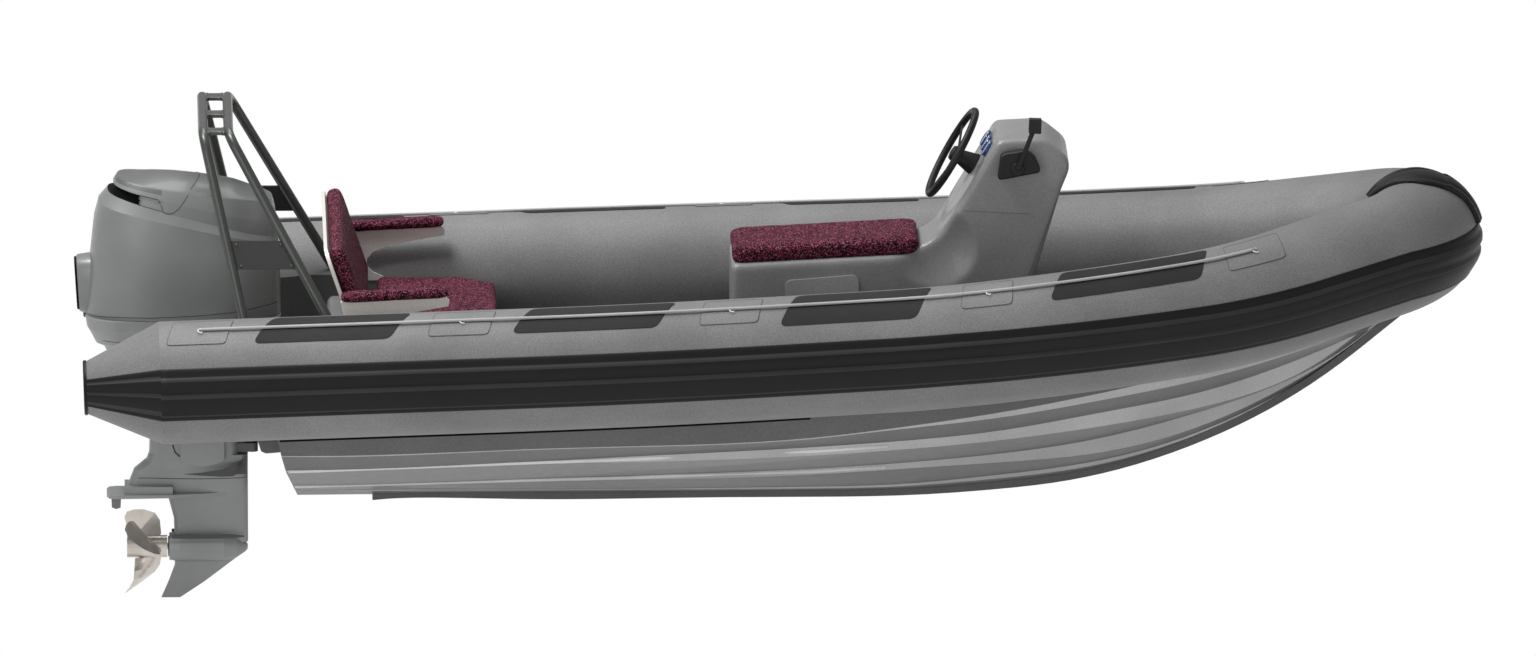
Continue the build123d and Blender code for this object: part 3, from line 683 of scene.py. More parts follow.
# Faces of the ribs' upper shoulders, which get a painted highlight.
LIT_RIB_SHOULDERS = (4, 9, 10, 11, 18, 19, 20)  # counted along the section: upper shoulders of the ribs


def strake_section(radius, spread=1.0):
    """The strake's section about the tube's centre, as x outwards and y up."""
    section = []
    for degrees, mm in STRAKE_SECTION:
        a, r = radians(spread * degrees), radius + mm / 1000
        section.append((r * cos(a), r * sin(a)))
    return section


def strake_ring(centre, direction, *size):
    """The same, as points round a centre."""
    out = outward(direction)
    return [centre + out * x + direction.cross(out) * y for x, y in strake_section(*size)]


def rolled(direction, x):
    """The way out from the boat, turned down towards the nose."""
    roll = STRAKE_NOSE_ROLL * max(0.0, (x - STRAKE_ROLL_FROM) / (NOSE_X - STRAKE_ROLL_FROM))
    return Matrix.Rotation(radians(roll), 3, direction) @ outward(direction)


strake_rows = [(spot, rolled(direction, spot.x)) for spot, direction in stations]
first, run = stations[0]
cone_verts, cone_faces = prism(
    strake_ring(CONE_END, run, CONE_END_R, STRAKE_END_SPREAD), strake_ring(first, run, TUBE_R)
)
strake = joined([swept_solid(strake_rows, strake_section(TUBE_R)), (cone_verts, cone_faces[:-1])])
strakes = mesh_piece("rubbing_strakes", *with_mirror(*strake), black_rubber)
# The ribs' upper shoulders get the lighter rubber, a painted highlight where they face the light.
strakes.data.materials.append(rubber_painted_highlight.material)
around, one_side = len(STRAKE_SECTION), len(strake[1])
for first_face in (0, one_side):
    for i in range((len(strake_rows) - 1) * around):
        if i % around in LIT_RIB_SHOULDERS:
            strakes.data.polygons[first_face + i].material_index = 1
    for i in LIT_RIB_SHOULDERS:
        strakes.data.polygons[first_face + one_side - around - 1 + i].material_index = 1
crisp(strakes, angle=60)
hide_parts("strake_port", "strake_starboard")
print("rubbing strakes", len(strakes.data.polygons), "faces")

# %% [markdown]
# ## Bow band
# A wide ribbed rubber band runs from the strake at the nose over the top of the tube, where the
# anchor line and a pier would chafe. It is a skin of stations by angles, a few millimetres above the
# tube, with a step at each edge and two grooves along it. Its foot is a little thicker.

# %% Bow band
BAND_HALF = [
    # degrees round the tube, half width
    (16, 0.046), (42, 0.046), (60, 0.066), (80, 0.093), (141, 0.095),
]
BAND_SECTION = [
    # share of the half width, millimetres above the skin
    (-1.0, -4), (-1.0, 9), (-0.97, 12), (-0.8, 12.5), (-0.72, 12), (-0.66, 8), (-0.58, 8),
    (-0.5, 12.5), (-0.2, 14), (0.2, 14), (0.5, 12.5), (0.58, 8), (0.66, 8), (0.72, 12),
    (0.8, 12.5), (0.97, 12), (1.0, 9), (1.0, -4),
]
BAND_FROM, BAND_TO, BAND_STEPS = 16, 141, 48
FOOT_TO, FOOT_LIFT_MM = 62, 5


def nose_station(offset):
    """Centre and direction of the tube at this distance from the nose, port side positive."""
    left = abs(offset)
    for (p, d), (q, e) in zip(reversed(stations[:-1]), reversed(stations[1:])):
        length = (q - p).length
        if left <= length:
            share = left / length
            spot, direction = q.lerp(p, share), e.lerp(d, share).normalized()
            break
        left -= length
    if offset < 0:
        return Vector((spot.x, -spot.y, spot.z)), Vector((-direction.x, direction.y, -direction.z))
    return spot, direction


def band_ring(angle):
    """The band's section at an angle round the tube."""
    half_w = table_value(BAND_HALF, angle)
    lift = FOOT_LIFT_MM if angle < FOOT_TO else 0
    points = []
    for share, mm in BAND_SECTION:
        centre, direction = nose_station(share * half_w)
        points.append(on_tube(centre, direction, angle, (mm + lift) / 1000)[0])
    return points


band_angles = [BAND_FROM + (BAND_TO - BAND_FROM) * i / BAND_STEPS for i in range(BAND_STEPS + 1)]
band_rings = [band_ring(angle) for angle in band_angles]
bow_band = crisp(mesh_piece("bow_band_ribbed", *ring_stack(band_rings), black_rubber), angle=45)
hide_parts("bow_band")
print("bow band", len(bow_band.data.polygons), "faces")

# %% [markdown]
# ## Patches on the collar
# Dark patches take the wear where people sit, and small patches in the tube's own cloth carry the
# grab line. Each is a slanted rounded rectangle, 2 mm above the skin, drawn as a grid whose corner
# squares are squeezed to quarter circles.

# %% Patches on the collar
PATCH_STEP = 0.012
PATCH_ROWS = 14
PATCH_SUNK = -0.003
RIM_LINE_R = 0.001


def rounded_grid(columns, rows, width, height, corner):
    """Points of a rounded rectangle as a grid, from 0 to width and 0 to height."""
    grid = []
    for j in range(rows + 1):
        for i in range(columns + 1):
            u, v = width * i / columns, height * j / rows
            du = max(corner - u, u - (width - corner), 0)
            dv = max(corner - v, v - (height - corner), 0)
            if du > 0 and dv > 0:
                squeeze = max(du, dv) / hypot(du, dv)
                u += (1 - squeeze) * (du if u < width / 2 else -du)
                v += (1 - squeeze) * (dv if v < height / 2 else -dv)
            grid.append((u, v))
    return grid


def grid_faces(columns, rows):
    """Faces between the points of such a grid."""
    across = columns + 1
    return [
        (j * across + i, j * across + i + 1, (j + 1) * across + i + 1, (j + 1) * across + i)
        for j in range(rows)
        for i in range(columns)
    ]


def tube_patch(x_from, x_to, angle_from, angle_to, lean, corner, lift):
    """One patch and the points of its rim; lean is how far its upper edge lies further forward."""
    height = radians(angle_to - angle_from) * TUBE_R
    length = x_to - x_from - lean
    columns, rows = max(8, int(length / PATCH_STEP)), PATCH_ROWS
    grid = rounded_grid(columns, rows, length, height, corner)
    across, top = columns + 1, len(grid)
    verts = []
    for level in (lift, PATCH_SUNK):
        for u, v in grid:
            centre, direction = station_at(x_from + u + lean * v / height)
            angle = angle_from + (angle_to - angle_from) * v / height
            verts.append(on_tube(centre, direction, angle, level)[0])
    rim = list(range(columns)) + [j * across + columns for j in range(rows)]
    rim += [rows * across + i for i in range(columns, 0, -1)] + [j * across for j in range(rows, 0, -1)]
    skin = grid_faces(columns, rows)
    sides = [(b, a, a + top, b + top) for a, b in zip(rim, rim[1:] + rim[:1])]
    under = [tuple(top + i for i in reversed(face)) for face in skin]
    return (verts, skin + sides + under), [verts[i] for i in rim]


def patch_set(name, spans, finish, angle_to, **shape):
    """Patches of one kind on both sides, and the glued edge of each on the port side."""
    patches, rims = [], []
    for x_from, x_to, angle_from in spans:
        patch, rim = tube_patch(x_from, x_to, angle_from, angle_to, **shape)
        patches.append(patch)
        rims.append([(point, (point - station_at(point.x)[0]).normalized()) for point in rim])
    piece = mesh_piece(name, *with_mirror(*joined(patches)), finish)
    return crisp(piece, angle=50), rims


WEAR_SPANS = [
    # from x, to x, angle of the lower edge
    (-0.163, 0.418, 49), (0.772, 1.378, 50), (1.732, 2.310, 44), (2.705, 3.330, 48),
]
HOLDER_SPANS = [
    # from x, to x, angle of the lower edge
    (-0.476, -0.228, 50), (0.470, 0.722, 50), (1.446, 1.690, 50), (2.388, 2.604, 50),
    (3.350, 3.585, 50),
]
wear_patches, _ = patch_set(
    "wear_patches", WEAR_SPANS, patch_fabric, angle_to=92, lean=0.085, corner=0.024, lift=0.0022
)
holder_patches, rims = patch_set(
    "rope_patches", HOLDER_SPANS, tube_fabric, angle_to=88, lean=0.034, corner=0.014, lift=0.0018
)
glued = joined([swept_solid(rim, ring(RIM_LINE_R, 6), closed=True) for rim in rims])
mesh_piece("patch_rims", *with_mirror(*glued), glue_line)
print("patches", len(WEAR_SPANS) * 2, "dark and", len(HOLDER_SPANS) * 2, "for the line")

# %% [markdown]
# ## Grab line
# A taut line runs along each side from patch to patch, through a small moulded eye on each.

# %% Grab line
LINE_R = 0.0055
LINE_ANGLE = 67.5
LINE_FROM, LINE_TO = -0.345, 3.47
LINE_STEPS = 160
LINE_LIFT = 0.0085
EYE_R = 0.0022
EYE_HALF = (0.0105, 0.0115)
EYE_UPHILL, EYE_TOP = 0.006, 0.0065
EYE_AHEAD, EYE_LIFT = 0.003, 0.001
EYE_ARC = (60, 255)         # degrees at its first foot, and from there to the other
EYE_STEPS = 16
line_rows = []
for i in range(LINE_STEPS + 1):
    centre, direction = station_at(LINE_FROM + (LINE_TO - LINE_FROM) * i / LINE_STEPS)
    line_rows.append(on_tube(centre, direction, LINE_ANGLE, LINE_LIFT))
grab_lines = mesh_piece("grab_lines", *with_mirror(*swept_solid(line_rows, ring(LINE_R))), line_rope)
print("grab lines", len(grab_lines.data.polygons), "faces")

eye_rows = []
for i in range(EYE_STEPS + 1):
    a = radians(EYE_ARC[0] + EYE_ARC[1] * i / EYE_STEPS)
    spot = Vector((EYE_HALF[0] * cos(a), EYE_HALF[1] * sin(a) + EYE_UPHILL, EYE_TOP))
    eye_rows.append((spot, Z_AXIS))
eye_verts, eye_faces = swept_solid(eye_rows, ring(EYE_R, 8))
eyes = []
for x_from, x_to, _ in HOLDER_SPANS:
    centre, direction = station_at(0.5 * (x_from + x_to) + EYE_AHEAD)
    spot, normal = on_tube(centre, direction, LINE_ANGLE, EYE_LIFT)
    side = normal.cross(direction).normalized()
    eyes.append(([spot + direction * v.x + side * v.y + normal * v.z for v in eye_verts], eye_faces))
mesh_piece("line_eyes", *with_mirror(*joined(eyes)), eye_white)
print("strap eyes", 2 * len(HOLDER_SPANS))

# %% [markdown]
# ## Cushions
# Foam pads in a sewn cover bulge between their seams. Each starts as a slightly small block with
# rounded edges, is remeshed evenly, and is blown up a little by Cloth with pressure and no gravity.
# How far a point may move is capped, so the pad keeps its drawn outline.

# %% Blowing up a pad
PAD_PRESSURE = 4.0
CLOTH_FRAMES = 20


def block(outline, place, thickness, bevel):
    """A pad's block on an outline in the x, y plane of its place, with rounded edges."""
    low, high = ([place @ Vector((x, y, z)) for x, y in outline] for z in (0, thickness))
    return bevelled(*prism(low, high), bevel)


def rounded_outline(width, height, corner, steps=6):
    """A rounded rectangle about the middle of its frame."""
    across, along = width / 2 - corner, height / 2 - corner
    points = []
    for cx, cy, start in (
        (across, along, 0), (-across, along, 90), (-across, -along, 180), (across, -along, 270)
    ):
        for i in range(steps + 1):
            a = radians(start + 90 * i / steps)
            points.append((cx + corner * cos(a), cy + corner * sin(a)))
    return points


def blown_up(name, mesh, voxel, cap):
    even = remeshed(mesh, voxel)
    pad = placed(name, even)
    cloth = pad.modifiers.new("cloth", "CLOTH")
    cloth.settings.use_pressure = True
    cloth.settings.uniform_pressure_force = PAD_PRESSURE
    cloth.settings.effector_weights.gravity = 0
    for step in range(1, CLOTH_FRAMES + 1):
        bpy.context.scene.frame_set(step)
    swollen = evaluated(pad)
    bpy.data.objects.remove(pad)
    bpy.context.scene.frame_set(1)
    for vertex, moved in zip(even.vertices, swollen.vertices):
        move = moved.co - vertex.co
        vertex.co += move * min(1.0, cap / max(move.length, cap))
    bpy.data.meshes.remove(swollen)
    piece = finish_mesh(name, even, cushion_vinyl)
    smoother = piece.modifiers.new("smooth", "SUBSURF")
    smoother.levels = smoother.render_levels = 1
    return piece


# %% Bench, back and helm cushions
INSET = 0.006
BENCH_LIFT = 0.002
BACK_LEAN = radians(18.7)
BACK_FOOT = Vector((0.285, 0, 0.385))
BACK_UP = 0.2085
HELM_SEAT = (1.925, 0, 0.6130)
HELM_SLOPE = atan2(0.034, 0.682)
ARM_SLOPE = atan2(0.018, 0.385)
ARM_X, ARM_Y, ARM_Z = 0.35, 0.58, 0.5675

bench_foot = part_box("bench_cushion")[0][2]
aft, bend, fore = 0.285 + INSET, 0.613 - INSET, 0.743 - INSET
half_w, nose_w = 0.545 - INSET, 0.445 - INSET
bench_outline = [
    (aft, -half_w), (bend, -half_w), (fore, -nose_w), (fore, nose_w), (bend, half_w), (aft, half_w),
]
bench_place = Matrix.Translation((0, 0, bench_foot + BENCH_LIFT))
bench_block = block(bench_outline, bench_place, thickness=0.051, bevel=0.018)
bench = blown_up("bench_cushion_soft", bench_block, voxel=0.008, cap=0.007)
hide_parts("bench_cushion")

back_up = Vector((-sin(BACK_LEAN), 0, cos(BACK_LEAN)))
back_aft = Vector((-cos(BACK_LEAN), 0, -sin(BACK_LEAN)))
back_turn = Matrix(
    ((0, back_up.x, back_aft.x), (-1, back_up.y, back_aft.y), (0, back_up.z, back_aft.z))
)
back_middle = BACK_FOOT + back_up * BACK_UP + back_aft * INSET
back_place = Matrix.Translation(back_middle) @ back_turn.to_4x4()
back_block = block(rounded_outline(1.026, 0.353, 0.030), back_place, thickness=0.048, bevel=0.014)
back = blown_up("back_cushion_soft", back_block, voxel=0.008, cap=0.007)
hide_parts("back_cushion")

helm_place = Matrix.Translation(HELM_SEAT) @ Matrix.Rotation(-HELM_SLOPE, 4, "Y")
seat_block = block(rounded_outline(0.692, 0.362, 0.045), helm_place, thickness=0.056, bevel=0.014)
helm_seat = blown_up("helm_cushion_soft", seat_block, voxel=0.006, cap=0.007)
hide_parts("helm_cushion")

arm_pads = []
for name, side in zip(("arm_pad_starboard", "arm_pad_port"), BOTH_SIDES):
    arm_place = Matrix.Translation((ARM_X, side * ARM_Y, ARM_Z)) @ Matrix.Rotation(-ARM_SLOPE, 4, "Y")
    arm_block = block(rounded_outline(0.39, 0.07, 0.02), arm_place, thickness=0.028, bevel=0.012)
    arm_pads.append(blown_up(name, arm_block, voxel=0.005, cap=0.004))
for arm in arm_pads:
    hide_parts("arm_pads")
print("cushions", [len(p.data.polygons) for p in (bench, back, helm_seat, *arm_pads)])

# %% [markdown]
# ## Motor cowl
# The cowl is a thin moulded lid, built from rings of a rounded oblong. The rings lie flat at the
# foot and tilt forward higher up, so a shoulder crease, the air slot and the crease of the top all
# run down towards the bow. Inside the slot the rings step inwards. Above the last ring the top is
# domed.

# %% Motor cowl
COWL_MIDDLE = -0.45
COWL_ENDS = [
    # z, aft x, fore x
    (0.398, -0.7710, -0.0590), (0.450, -0.7670, -0.0600), (0.533, -0.7600, -0.0604),
    (0.600, -0.7544, -0.0635), (0.670, -0.7470, -0.0680), (0.725, -0.7410, -0.0720),
    (0.777, -0.7350, -0.0780), (0.810, -0.7260, -0.0850), (0.835, -0.7040, -0.0950),
    (0.857, -0.6860, -0.1060), (0.876, -0.6720, -0.1200), (0.905, -0.6530, -0.1450),
]
SLOT_LOW, SLOT_LOW_SLOPE = 0.7905, -0.270
SLOT_HIGH, SLOT_HIGH_SLOPE = 0.8295, -0.240
CREASE, CREASE_SLOPE = 0.8745, -0.149
COWL_RINGS = [
    # z amidships, slope forward, half width, recess in the slot
    (0.3985, 0.000, 0.204, 0), (0.450, -0.020, 0.207, 0), (0.500, -0.045, 0.2095, 0),
    (0.550, -0.080, 0.2095, 0), (0.600, -0.115, 0.2085, 0), (0.650, -0.150, 0.206, 0),
    (0.700, -0.185, 0.2025, 0), (0.755, -0.222, 0.1985, 0),
    (0.772, -0.246, 0.1880, 0), (0.790, -0.270, 0.1780, 0), (SLOT_LOW, SLOT_LOW_SLOPE, 0.178, 1),
    (0.810, -0.258, 0.176, 1), (SLOT_HIGH, SLOT_HIGH_SLOPE, 0.174, 1), (0.830, -0.240, 0.174, 0),
    (0.852, -0.190, 0.166, 0), (0.871, -0.150, 0.155, 0), (CREASE, CREASE_SLOPE, 0.150, 0),
]
RIDGE = [
    # x, z of the top on the centre line
    (-0.650, 0.897), (-0.610, 0.9137), (-0.530, 0.916), (-0.445, 0.912), (-0.350, 0.902),
    (-0.230, 0.884), (-0.160, 0.865), (-0.095, 0.835),
]
DOME_SHARES = (0.97, 0.92, 0.84, 0.74, 0.62, 0.48, 0.32, 0.15, 0.04)
SLOT_END, INSERT_END = -0.575, -0.487
SLOT_DEPTH, INSERT_DEPTH = 0.016, 0.006
RECESS_FLAT = 0.3         # how much of a recess points along the boat
DOME_KEPT = 0.35          # share of its length that the top keeps in the middle
HOOD_EDGE = 0.012
TILT_STEPS = 5
SLOT_MARGIN, STEP_MARGIN = 0.001, 0.0012


def signed_power(value, exponent):
    """A power of the size of a value, with the value's sign."""
    return abs(value) ** exponent * (1 if value >= 0 else -1)


def super_ring(aft, fore, half_w, height, power=3.0, count=160):
    """A rounded oblong in plan, with a height for each x."""
    points = []
    middle, half_l = 0.5 * (aft + fore), 0.5 * (fore - aft)
    for i in range(count):
        a = 2 * pi * i / count
        x = middle + half_l * signed_power(cos(a), 2 / power)
        points.append(Vector((x, half_w * signed_power(sin(a), 2 / power), height(x))))
    return points


def tilted(z, slope, x):
    """Height of a tilted ring at this x."""
    return z + slope * (x - COWL_MIDDLE)


def cowl_end(z, slope, column):
    """End of a tilted ring, found by stepping down the tilt a few times."""
    x = COWL_ENDS[0][column]
    for _ in range(TILT_STEPS):
        x = table_value(COWL_ENDS, tilted(z, slope, x), column)
    return x


cowl_rings = []
for z, slope, half_w, recessed in COWL_RINGS:
    aft, fore = cowl_end(z, slope, 1), cowl_end(z, slope, 2)
    one = super_ring(aft, fore, half_w, lambda x: tilted(z, slope, x))
    for point in one if recessed else ():
        depth = SLOT_DEPTH if point.x < SLOT_END else INSERT_DEPTH if point.x < INSERT_END else 0.0
        point += Vector((RECESS_FLAT * (COWL_MIDDLE - point.x), -point.y, 0)).normalized() * depth
    cowl_rings.append(one)
top_middle = 0.5 * (aft + fore)
edge_ring = cowl_rings[-1]
for share in DOME_SHARES:
    inner = []
    for point in edge_ring:
        x = top_middle + (point.x - top_middle) * (DOME_KEPT + (1 - DOME_KEPT) * share)
        low = tilted(CREASE, CREASE_SLOPE, x)
        rise = max(0.0, table_value(RIDGE, x) - low)
        inner.append(Vector((x, point.y * share, low + rise * (1 - share ** 2))))
    cowl_rings.append(inner)
cowl = mesh_piece("cowl_shell", *ring_stack(cowl_rings), cowl_paint, "motor")
cowl.data.materials.append(black_and_painted_shadow.material)
cowl.data.materials.append(hood_painted_shade.material)
for face in cowl.data.polygons:
    x, _, z = face.center
    low = tilted(SLOT_LOW, SLOT_LOW_SLOPE, x)
    high = tilted(SLOT_HIGH, SLOT_HIGH_SLOPE, x)
    inside = low + SLOT_MARGIN < z < high - SLOT_MARGIN and x < SLOT_END
    # The step face under the insert gets the black too: painted shade in the recess.
    step = abs(z - low) < STEP_MARGIN and x < INSERT_END
    if inside or step:
        face.material_index = 1
    # Faces of the top above the crease get the darker copy: painted shade.
    elif z > tilted(CREASE - HOOD_EDGE, CREASE_SLOPE, x):
        face.material_index = 2
crisp(cowl, angle=13)
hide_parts("cowl")
print("cowl", len(cowl.data.polygons), "faces")

# %% Boss on the back of the cowl
BOSS_Z = 0.497
BOSS_RINGS = [
    # x, half width, half height, lift
    (-0.740, 0.085, 0.112, 0.0), (-0.788, 0.074, 0.104, 0.002), (-0.797, 0.070, 0.100, 0.002),
    (-0.7975, 0.066, 0.096, 0.002), (-0.806, 0.064, 0.094, 0.003),
]
BOSS_RAKE = 0.06
BOSS_POWER, BOSS_SIDES = 3.2, 64
BOSS_BLACK_TO = -0.78
boss_rings = [
    [
        Vector((x - BOSS_RAKE * p.y, p.x, BOSS_Z + p.y + lift))
        for p in super_ring(-half_w, half_w, half_h, lambda x: 0, BOSS_POWER, BOSS_SIDES)
    ]
    for x, half_w, half_h, lift in BOSS_RINGS
]
boss = mesh_piece("cowl_boss", *ring_stack(boss_rings), cowl_paint, "motor")
boss.data.materials.append(black_and_painted_shadow.material)
for face in boss.data.polygons[3 * BOSS_SIDES :]:
    if face.center.x < BOSS_BLACK_TO:
        face.material_index = 1
crisp(boss, angle=40)
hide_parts("cowl")

# %% [markdown]
# ## Seams
# Where one moulding meets the next there is a thin dark line. A thin dark line in the leg's crease and
# a short, thicker dark arc on the leg are painted shade. Each path is dropped onto the surface from the
# side or from above, and a fine section is swept along it, half sunk.

# %% Seams and painted shade lines on the motor
PATH_STEP = 0.012
RAY_TOP = 1.5


def surface_of(*pieces):
    """A search tree over the faces of some pieces."""
    bpy.context.view_layer.update()
    solids = []
    for piece in pieces:
        verts, faces = solid(piece.data)
        solids.append(([piece.matrix_world @ v for v in verts], faces))
    return BVHTree.FromPolygons(*joined(solids))


def close_together(points):
    """The same path, with points no further apart than a step."""
    points = [Vector(point) for point in points]
    path = []
    for start, end in zip(points, points[1:]):
        count = max(1, round((end - start).length / PATH_STEP))
        path += [start.lerp(end, i / count) for i in range(count)]
    return path + [points[-1]]


def dropped(tree, points, axis="Y", side=-1):
    """Rows of (spot, normal) where rays along this axis first meet the surface."""
    rows = []
    for u, v in close_together(points):
        origin = Vector((u, side, v)) if axis == "Y" else Vector((u, v, RAY_TOP))
        aim = Vector((0, -side, 0)) if axis == "Y" else Vector((0, 0, -1))
        spot, normal, _, _ = tree.ray_cast(origin, aim)
        if spot is not None:
            rows.append((spot, normal))
    return rows


def seams(name, paths, finish, body, radius):
    """One piece from a fine round section along each path."""
    solids = [swept_solid(rows, ring(radius, 6)) for rows in paths]
    return mesh_piece(name, *joined(solids), finish, body)


HOOD_SIDE = [
    (-0.4853, 0.7990), (-0.469, 0.7935), (-0.4522, 0.7970), (-0.4324, 0.8094), (-0.4155, 0.8312),
    (-0.396, 0.858),
]
INSERT_EDGE = [(-0.589, 0.863), (-0.505, 0.8457), (-0.4937, 0.823), (-0.4853, 0.799)]
HOOD_TOP = [(-0.384, -0.125), (-0.3692, -0.09), (-0.3567, -0.04), (-0.353, 0.0)]
COWL_FOOT = [
    (-0.764, 0.404), (-0.746, 0.4055), (-0.645, 0.4110), (-0.5336, 0.4115), (-0.3662, 0.4190),
    (-0.2212, 0.4310), (-0.1321, 0.4440), (-0.0700, 0.4480),
]
LOWER_LINE = [(-0.7049, 0.3199), (-0.6775, 0.3175), (-0.6441, 0.3174)]
# Painted shade: a thin dark line along the leg's crease.
LEG_CREASE_SHADE = [
    (-0.584, -0.2233), (-0.529, -0.2234), (-0.4744, -0.2255), (-0.3688, -0.2278),
    (-0.2778, -0.2268), (-0.186, -0.2235),
]
# Painted shade: a short, thicker dark arc on the leg.
LEG_SHADE_ARC = [(-0.4551, -0.0968), (-0.4511, -0.1103), (-0.4457, -0.1252), (-0.4290, -0.1403)]

cowl_tree = surface_of(cowl)
lower_tree = surface_of(nodes["lower_cowl"])
leg_tree = surface_of(nodes["motor_leg"], nodes["gearcase"])
over_hood = HOOD_TOP + [(x, -y) for x, y in reversed(HOOD_TOP[:-1])]
fine_paths = [
    dropped(cowl_tree, HOOD_SIDE)
    + dropped(cowl_tree, over_hood, "Z")
    + list(reversed(dropped(cowl_tree, HOOD_SIDE, side=1)))
]
side_lines = (
    (cowl_tree, COWL_FOOT), (lower_tree, LOWER_LINE), (leg_tree, LEG_CREASE_SHADE), (cowl_tree, INSERT_EDGE)
)
for side in BOTH_SIDES:
    fine_paths += [dropped(tree, line, side=side) for tree, line in side_lines]
shade_arc_paths = [dropped(leg_tree, LEG_SHADE_ARC, side=side) for side in BOTH_SIDES]
seams("motor_seams", fine_paths, seam_and_shade_grey, "motor", radius=0.0013)
seams("motor_nicks", shade_arc_paths, seam_and_shade_grey, "motor", radius=0.0026)
print("seam paths on the motor", len(fine_paths) + len(shade_arc_paths))

# %% Painted shade on the leg, and shaft collar
SHADE_COLUMNS, SHADE_ROWS = 4, 24
BESIDE_LEG, SHADE_LIFT = 0.15, 0.001
# Dark skins 1 mm off the leg, over the anti-ventilation plate and over the torpedo: painted shade where
# the fillets lie in shadow.
LEG_SHADE_BANDS = [
    # table of x, lower z, upper z, and the surface it lies on
    ([(-0.4125, -0.2020, -0.2010), (-0.3543, -0.2077, -0.1965), (-0.2815, -0.2118, -0.1857),
      (-0.2159, -0.2095, -0.1636), (-0.1860, -0.2086, -0.1450)], leg_tree),
    ([(-0.4600, -0.4480, -0.4360), (-0.4000, -0.4500, -0.4340), (-0.3000, -0.4500, -0.4320),
      (-0.2400, -0.4480, -0.4330), (-0.1950, -0.4460, -0.4400)], surface_of(nodes["gearcase"])),
]
shade_skins = []
for table, tree in LEG_SHADE_BANDS:
    for side in BOTH_SIDES:
        skin = []
        for i in range(SHADE_ROWS + 1):
            x = table[0][0] + (table[-1][0] - table[0][0]) * i / SHADE_ROWS
            low, high = table_value(table, x, 1), table_value(table, x, 2)
            for j in range(SHADE_COLUMNS + 1):
                near = Vector((x, side * BESIDE_LEG, low + (high - low) * j / SHADE_COLUMNS))
                spot = tree.find_nearest(near)[0]
                skin.append(Vector((near.x, spot.y + side * SHADE_LIFT, near.z)))
        shade_skins.append((skin, grid_faces(SHADE_COLUMNS, SHADE_ROWS)))
leg_shade_skins = mesh_piece("leg_hollows", *joined(shade_skins), leg_shadow, "motor")

SHAFT_Z = -0.489
COLLAR_PROFILE = [
    # radius, x
    (0.030, -0.4735), (0.037, -0.4730), (0.041, -0.4640), (0.041, -0.4550),
]
collar_solid = turned(COLLAR_PROFILE, Z_AXIS * SHAFT_Z, X_AXIS, Y_AXIS, Z_AXIS)
shaft_collar = crisp(mesh_piece("shaft_collar", *collar_solid, bracket_paint, "motor"))

# %% [markdown]
# ## Arch rungs and bolts
# Three cast rungs join the hoops at the top, each flaring where it meets the tubes. Small domed
# bolts are one Geometry Nodes instance on every point of a list, turned to its normal.

# %% Arch rungs
RUNG_X = (-0.328, -0.262)
RUNG_Y = (-0.288, 0.0, 0.288)
RUNG_Z = (1.119, 1.133)
RUNG_HALF = [
    # share of its length, half width
    (0.0, 0.046), (0.12, 0.043), (0.22, 0.036), (0.78, 0.036), (0.88, 0.043), (1.0, 0.046),
]
rung_solids = []
for y in RUNG_Y:
    outline = [(RUNG_X[0] + (RUNG_X[1] - RUNG_X[0]) * share, y - half_w) for share, half_w in RUNG_HALF]
    outline += [(x, 2 * y - side_y) for x, side_y in reversed(outline)]
    rung_solids.append(prism(*([(x, side_y, z) for x, side_y in outline] for z in RUNG_Z)))
rungs = eased(mesh_piece("arch_rungs", *joined(rung_solids), arch_metal), width=0.003)
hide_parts("arch_cross_plates")

# %% Bolts
bolt_tree, given, facing = new_tree("bolt_heads", Points="Geometry", Radius="Float")
dome = grow(bolt_tree, "GeometryNodeMeshUVSphere", {"Segments": 12, "Rings": 8, "Radius": 1.0})
flatter = grow(bolt_tree, "GeometryNodeTransform", {0: dome.outputs["Mesh"], "Scale": (1, 1, 0.55)})
turn = grow(bolt_tree, "FunctionNodeAlignEulerToVector", {"Vector": facing}, axis="Z")
heads = grow(
    bolt_tree,
    "GeometryNodeInstanceOnPoints",
    {
        "Points": given["Points"],
        "Instance": flatter.outputs[0],
        "Rotation": turn.outputs[0],
        "Scale": given["Radius"],
    },
)
close_tree(bolt_tree, heads.outputs[0])


def bolts(name, tree, points, axis, sides, radius):
    """Domed heads where rays towards these points first meet a surface."""
    rows = []
    for side in sides:
        for point in points:
            rows += dropped(tree, [point], axis, side)
    return finish_mesh(name, grown(bolt_tree, rows, Radius=radius), arch_metal)


GUSSET_BOLTS = [(-0.222, 0.742), (-0.205, 0.668), (-0.062, 0.742), (-0.022, 0.668)]
RUNG_BOLTS = [(x, y) for y in RUNG_Y for x in (-0.316, -0.274)]
gusset_tree = surface_of(nodes["arch_gussets"])
gusset_bolts = bolts("gusset_bolts", gusset_tree, GUSSET_BOLTS, "Y", BOTH_SIDES, radius=0.0055)
rung_bolts = bolts("rung_bolts", surface_of(rungs), RUNG_BOLTS, "Z", (1,), radius=0.005)
print("bolts", len(gusset_bolts.data.vertices) + len(rung_bolts.data.vertices), "points")

# %% [markdown]
# ## Helm moulding
# Seat and console are one gelcoat moulding. Its side view is extruded with generous edges, remeshed
# evenly, and dished on both sides where the rider's knees go.

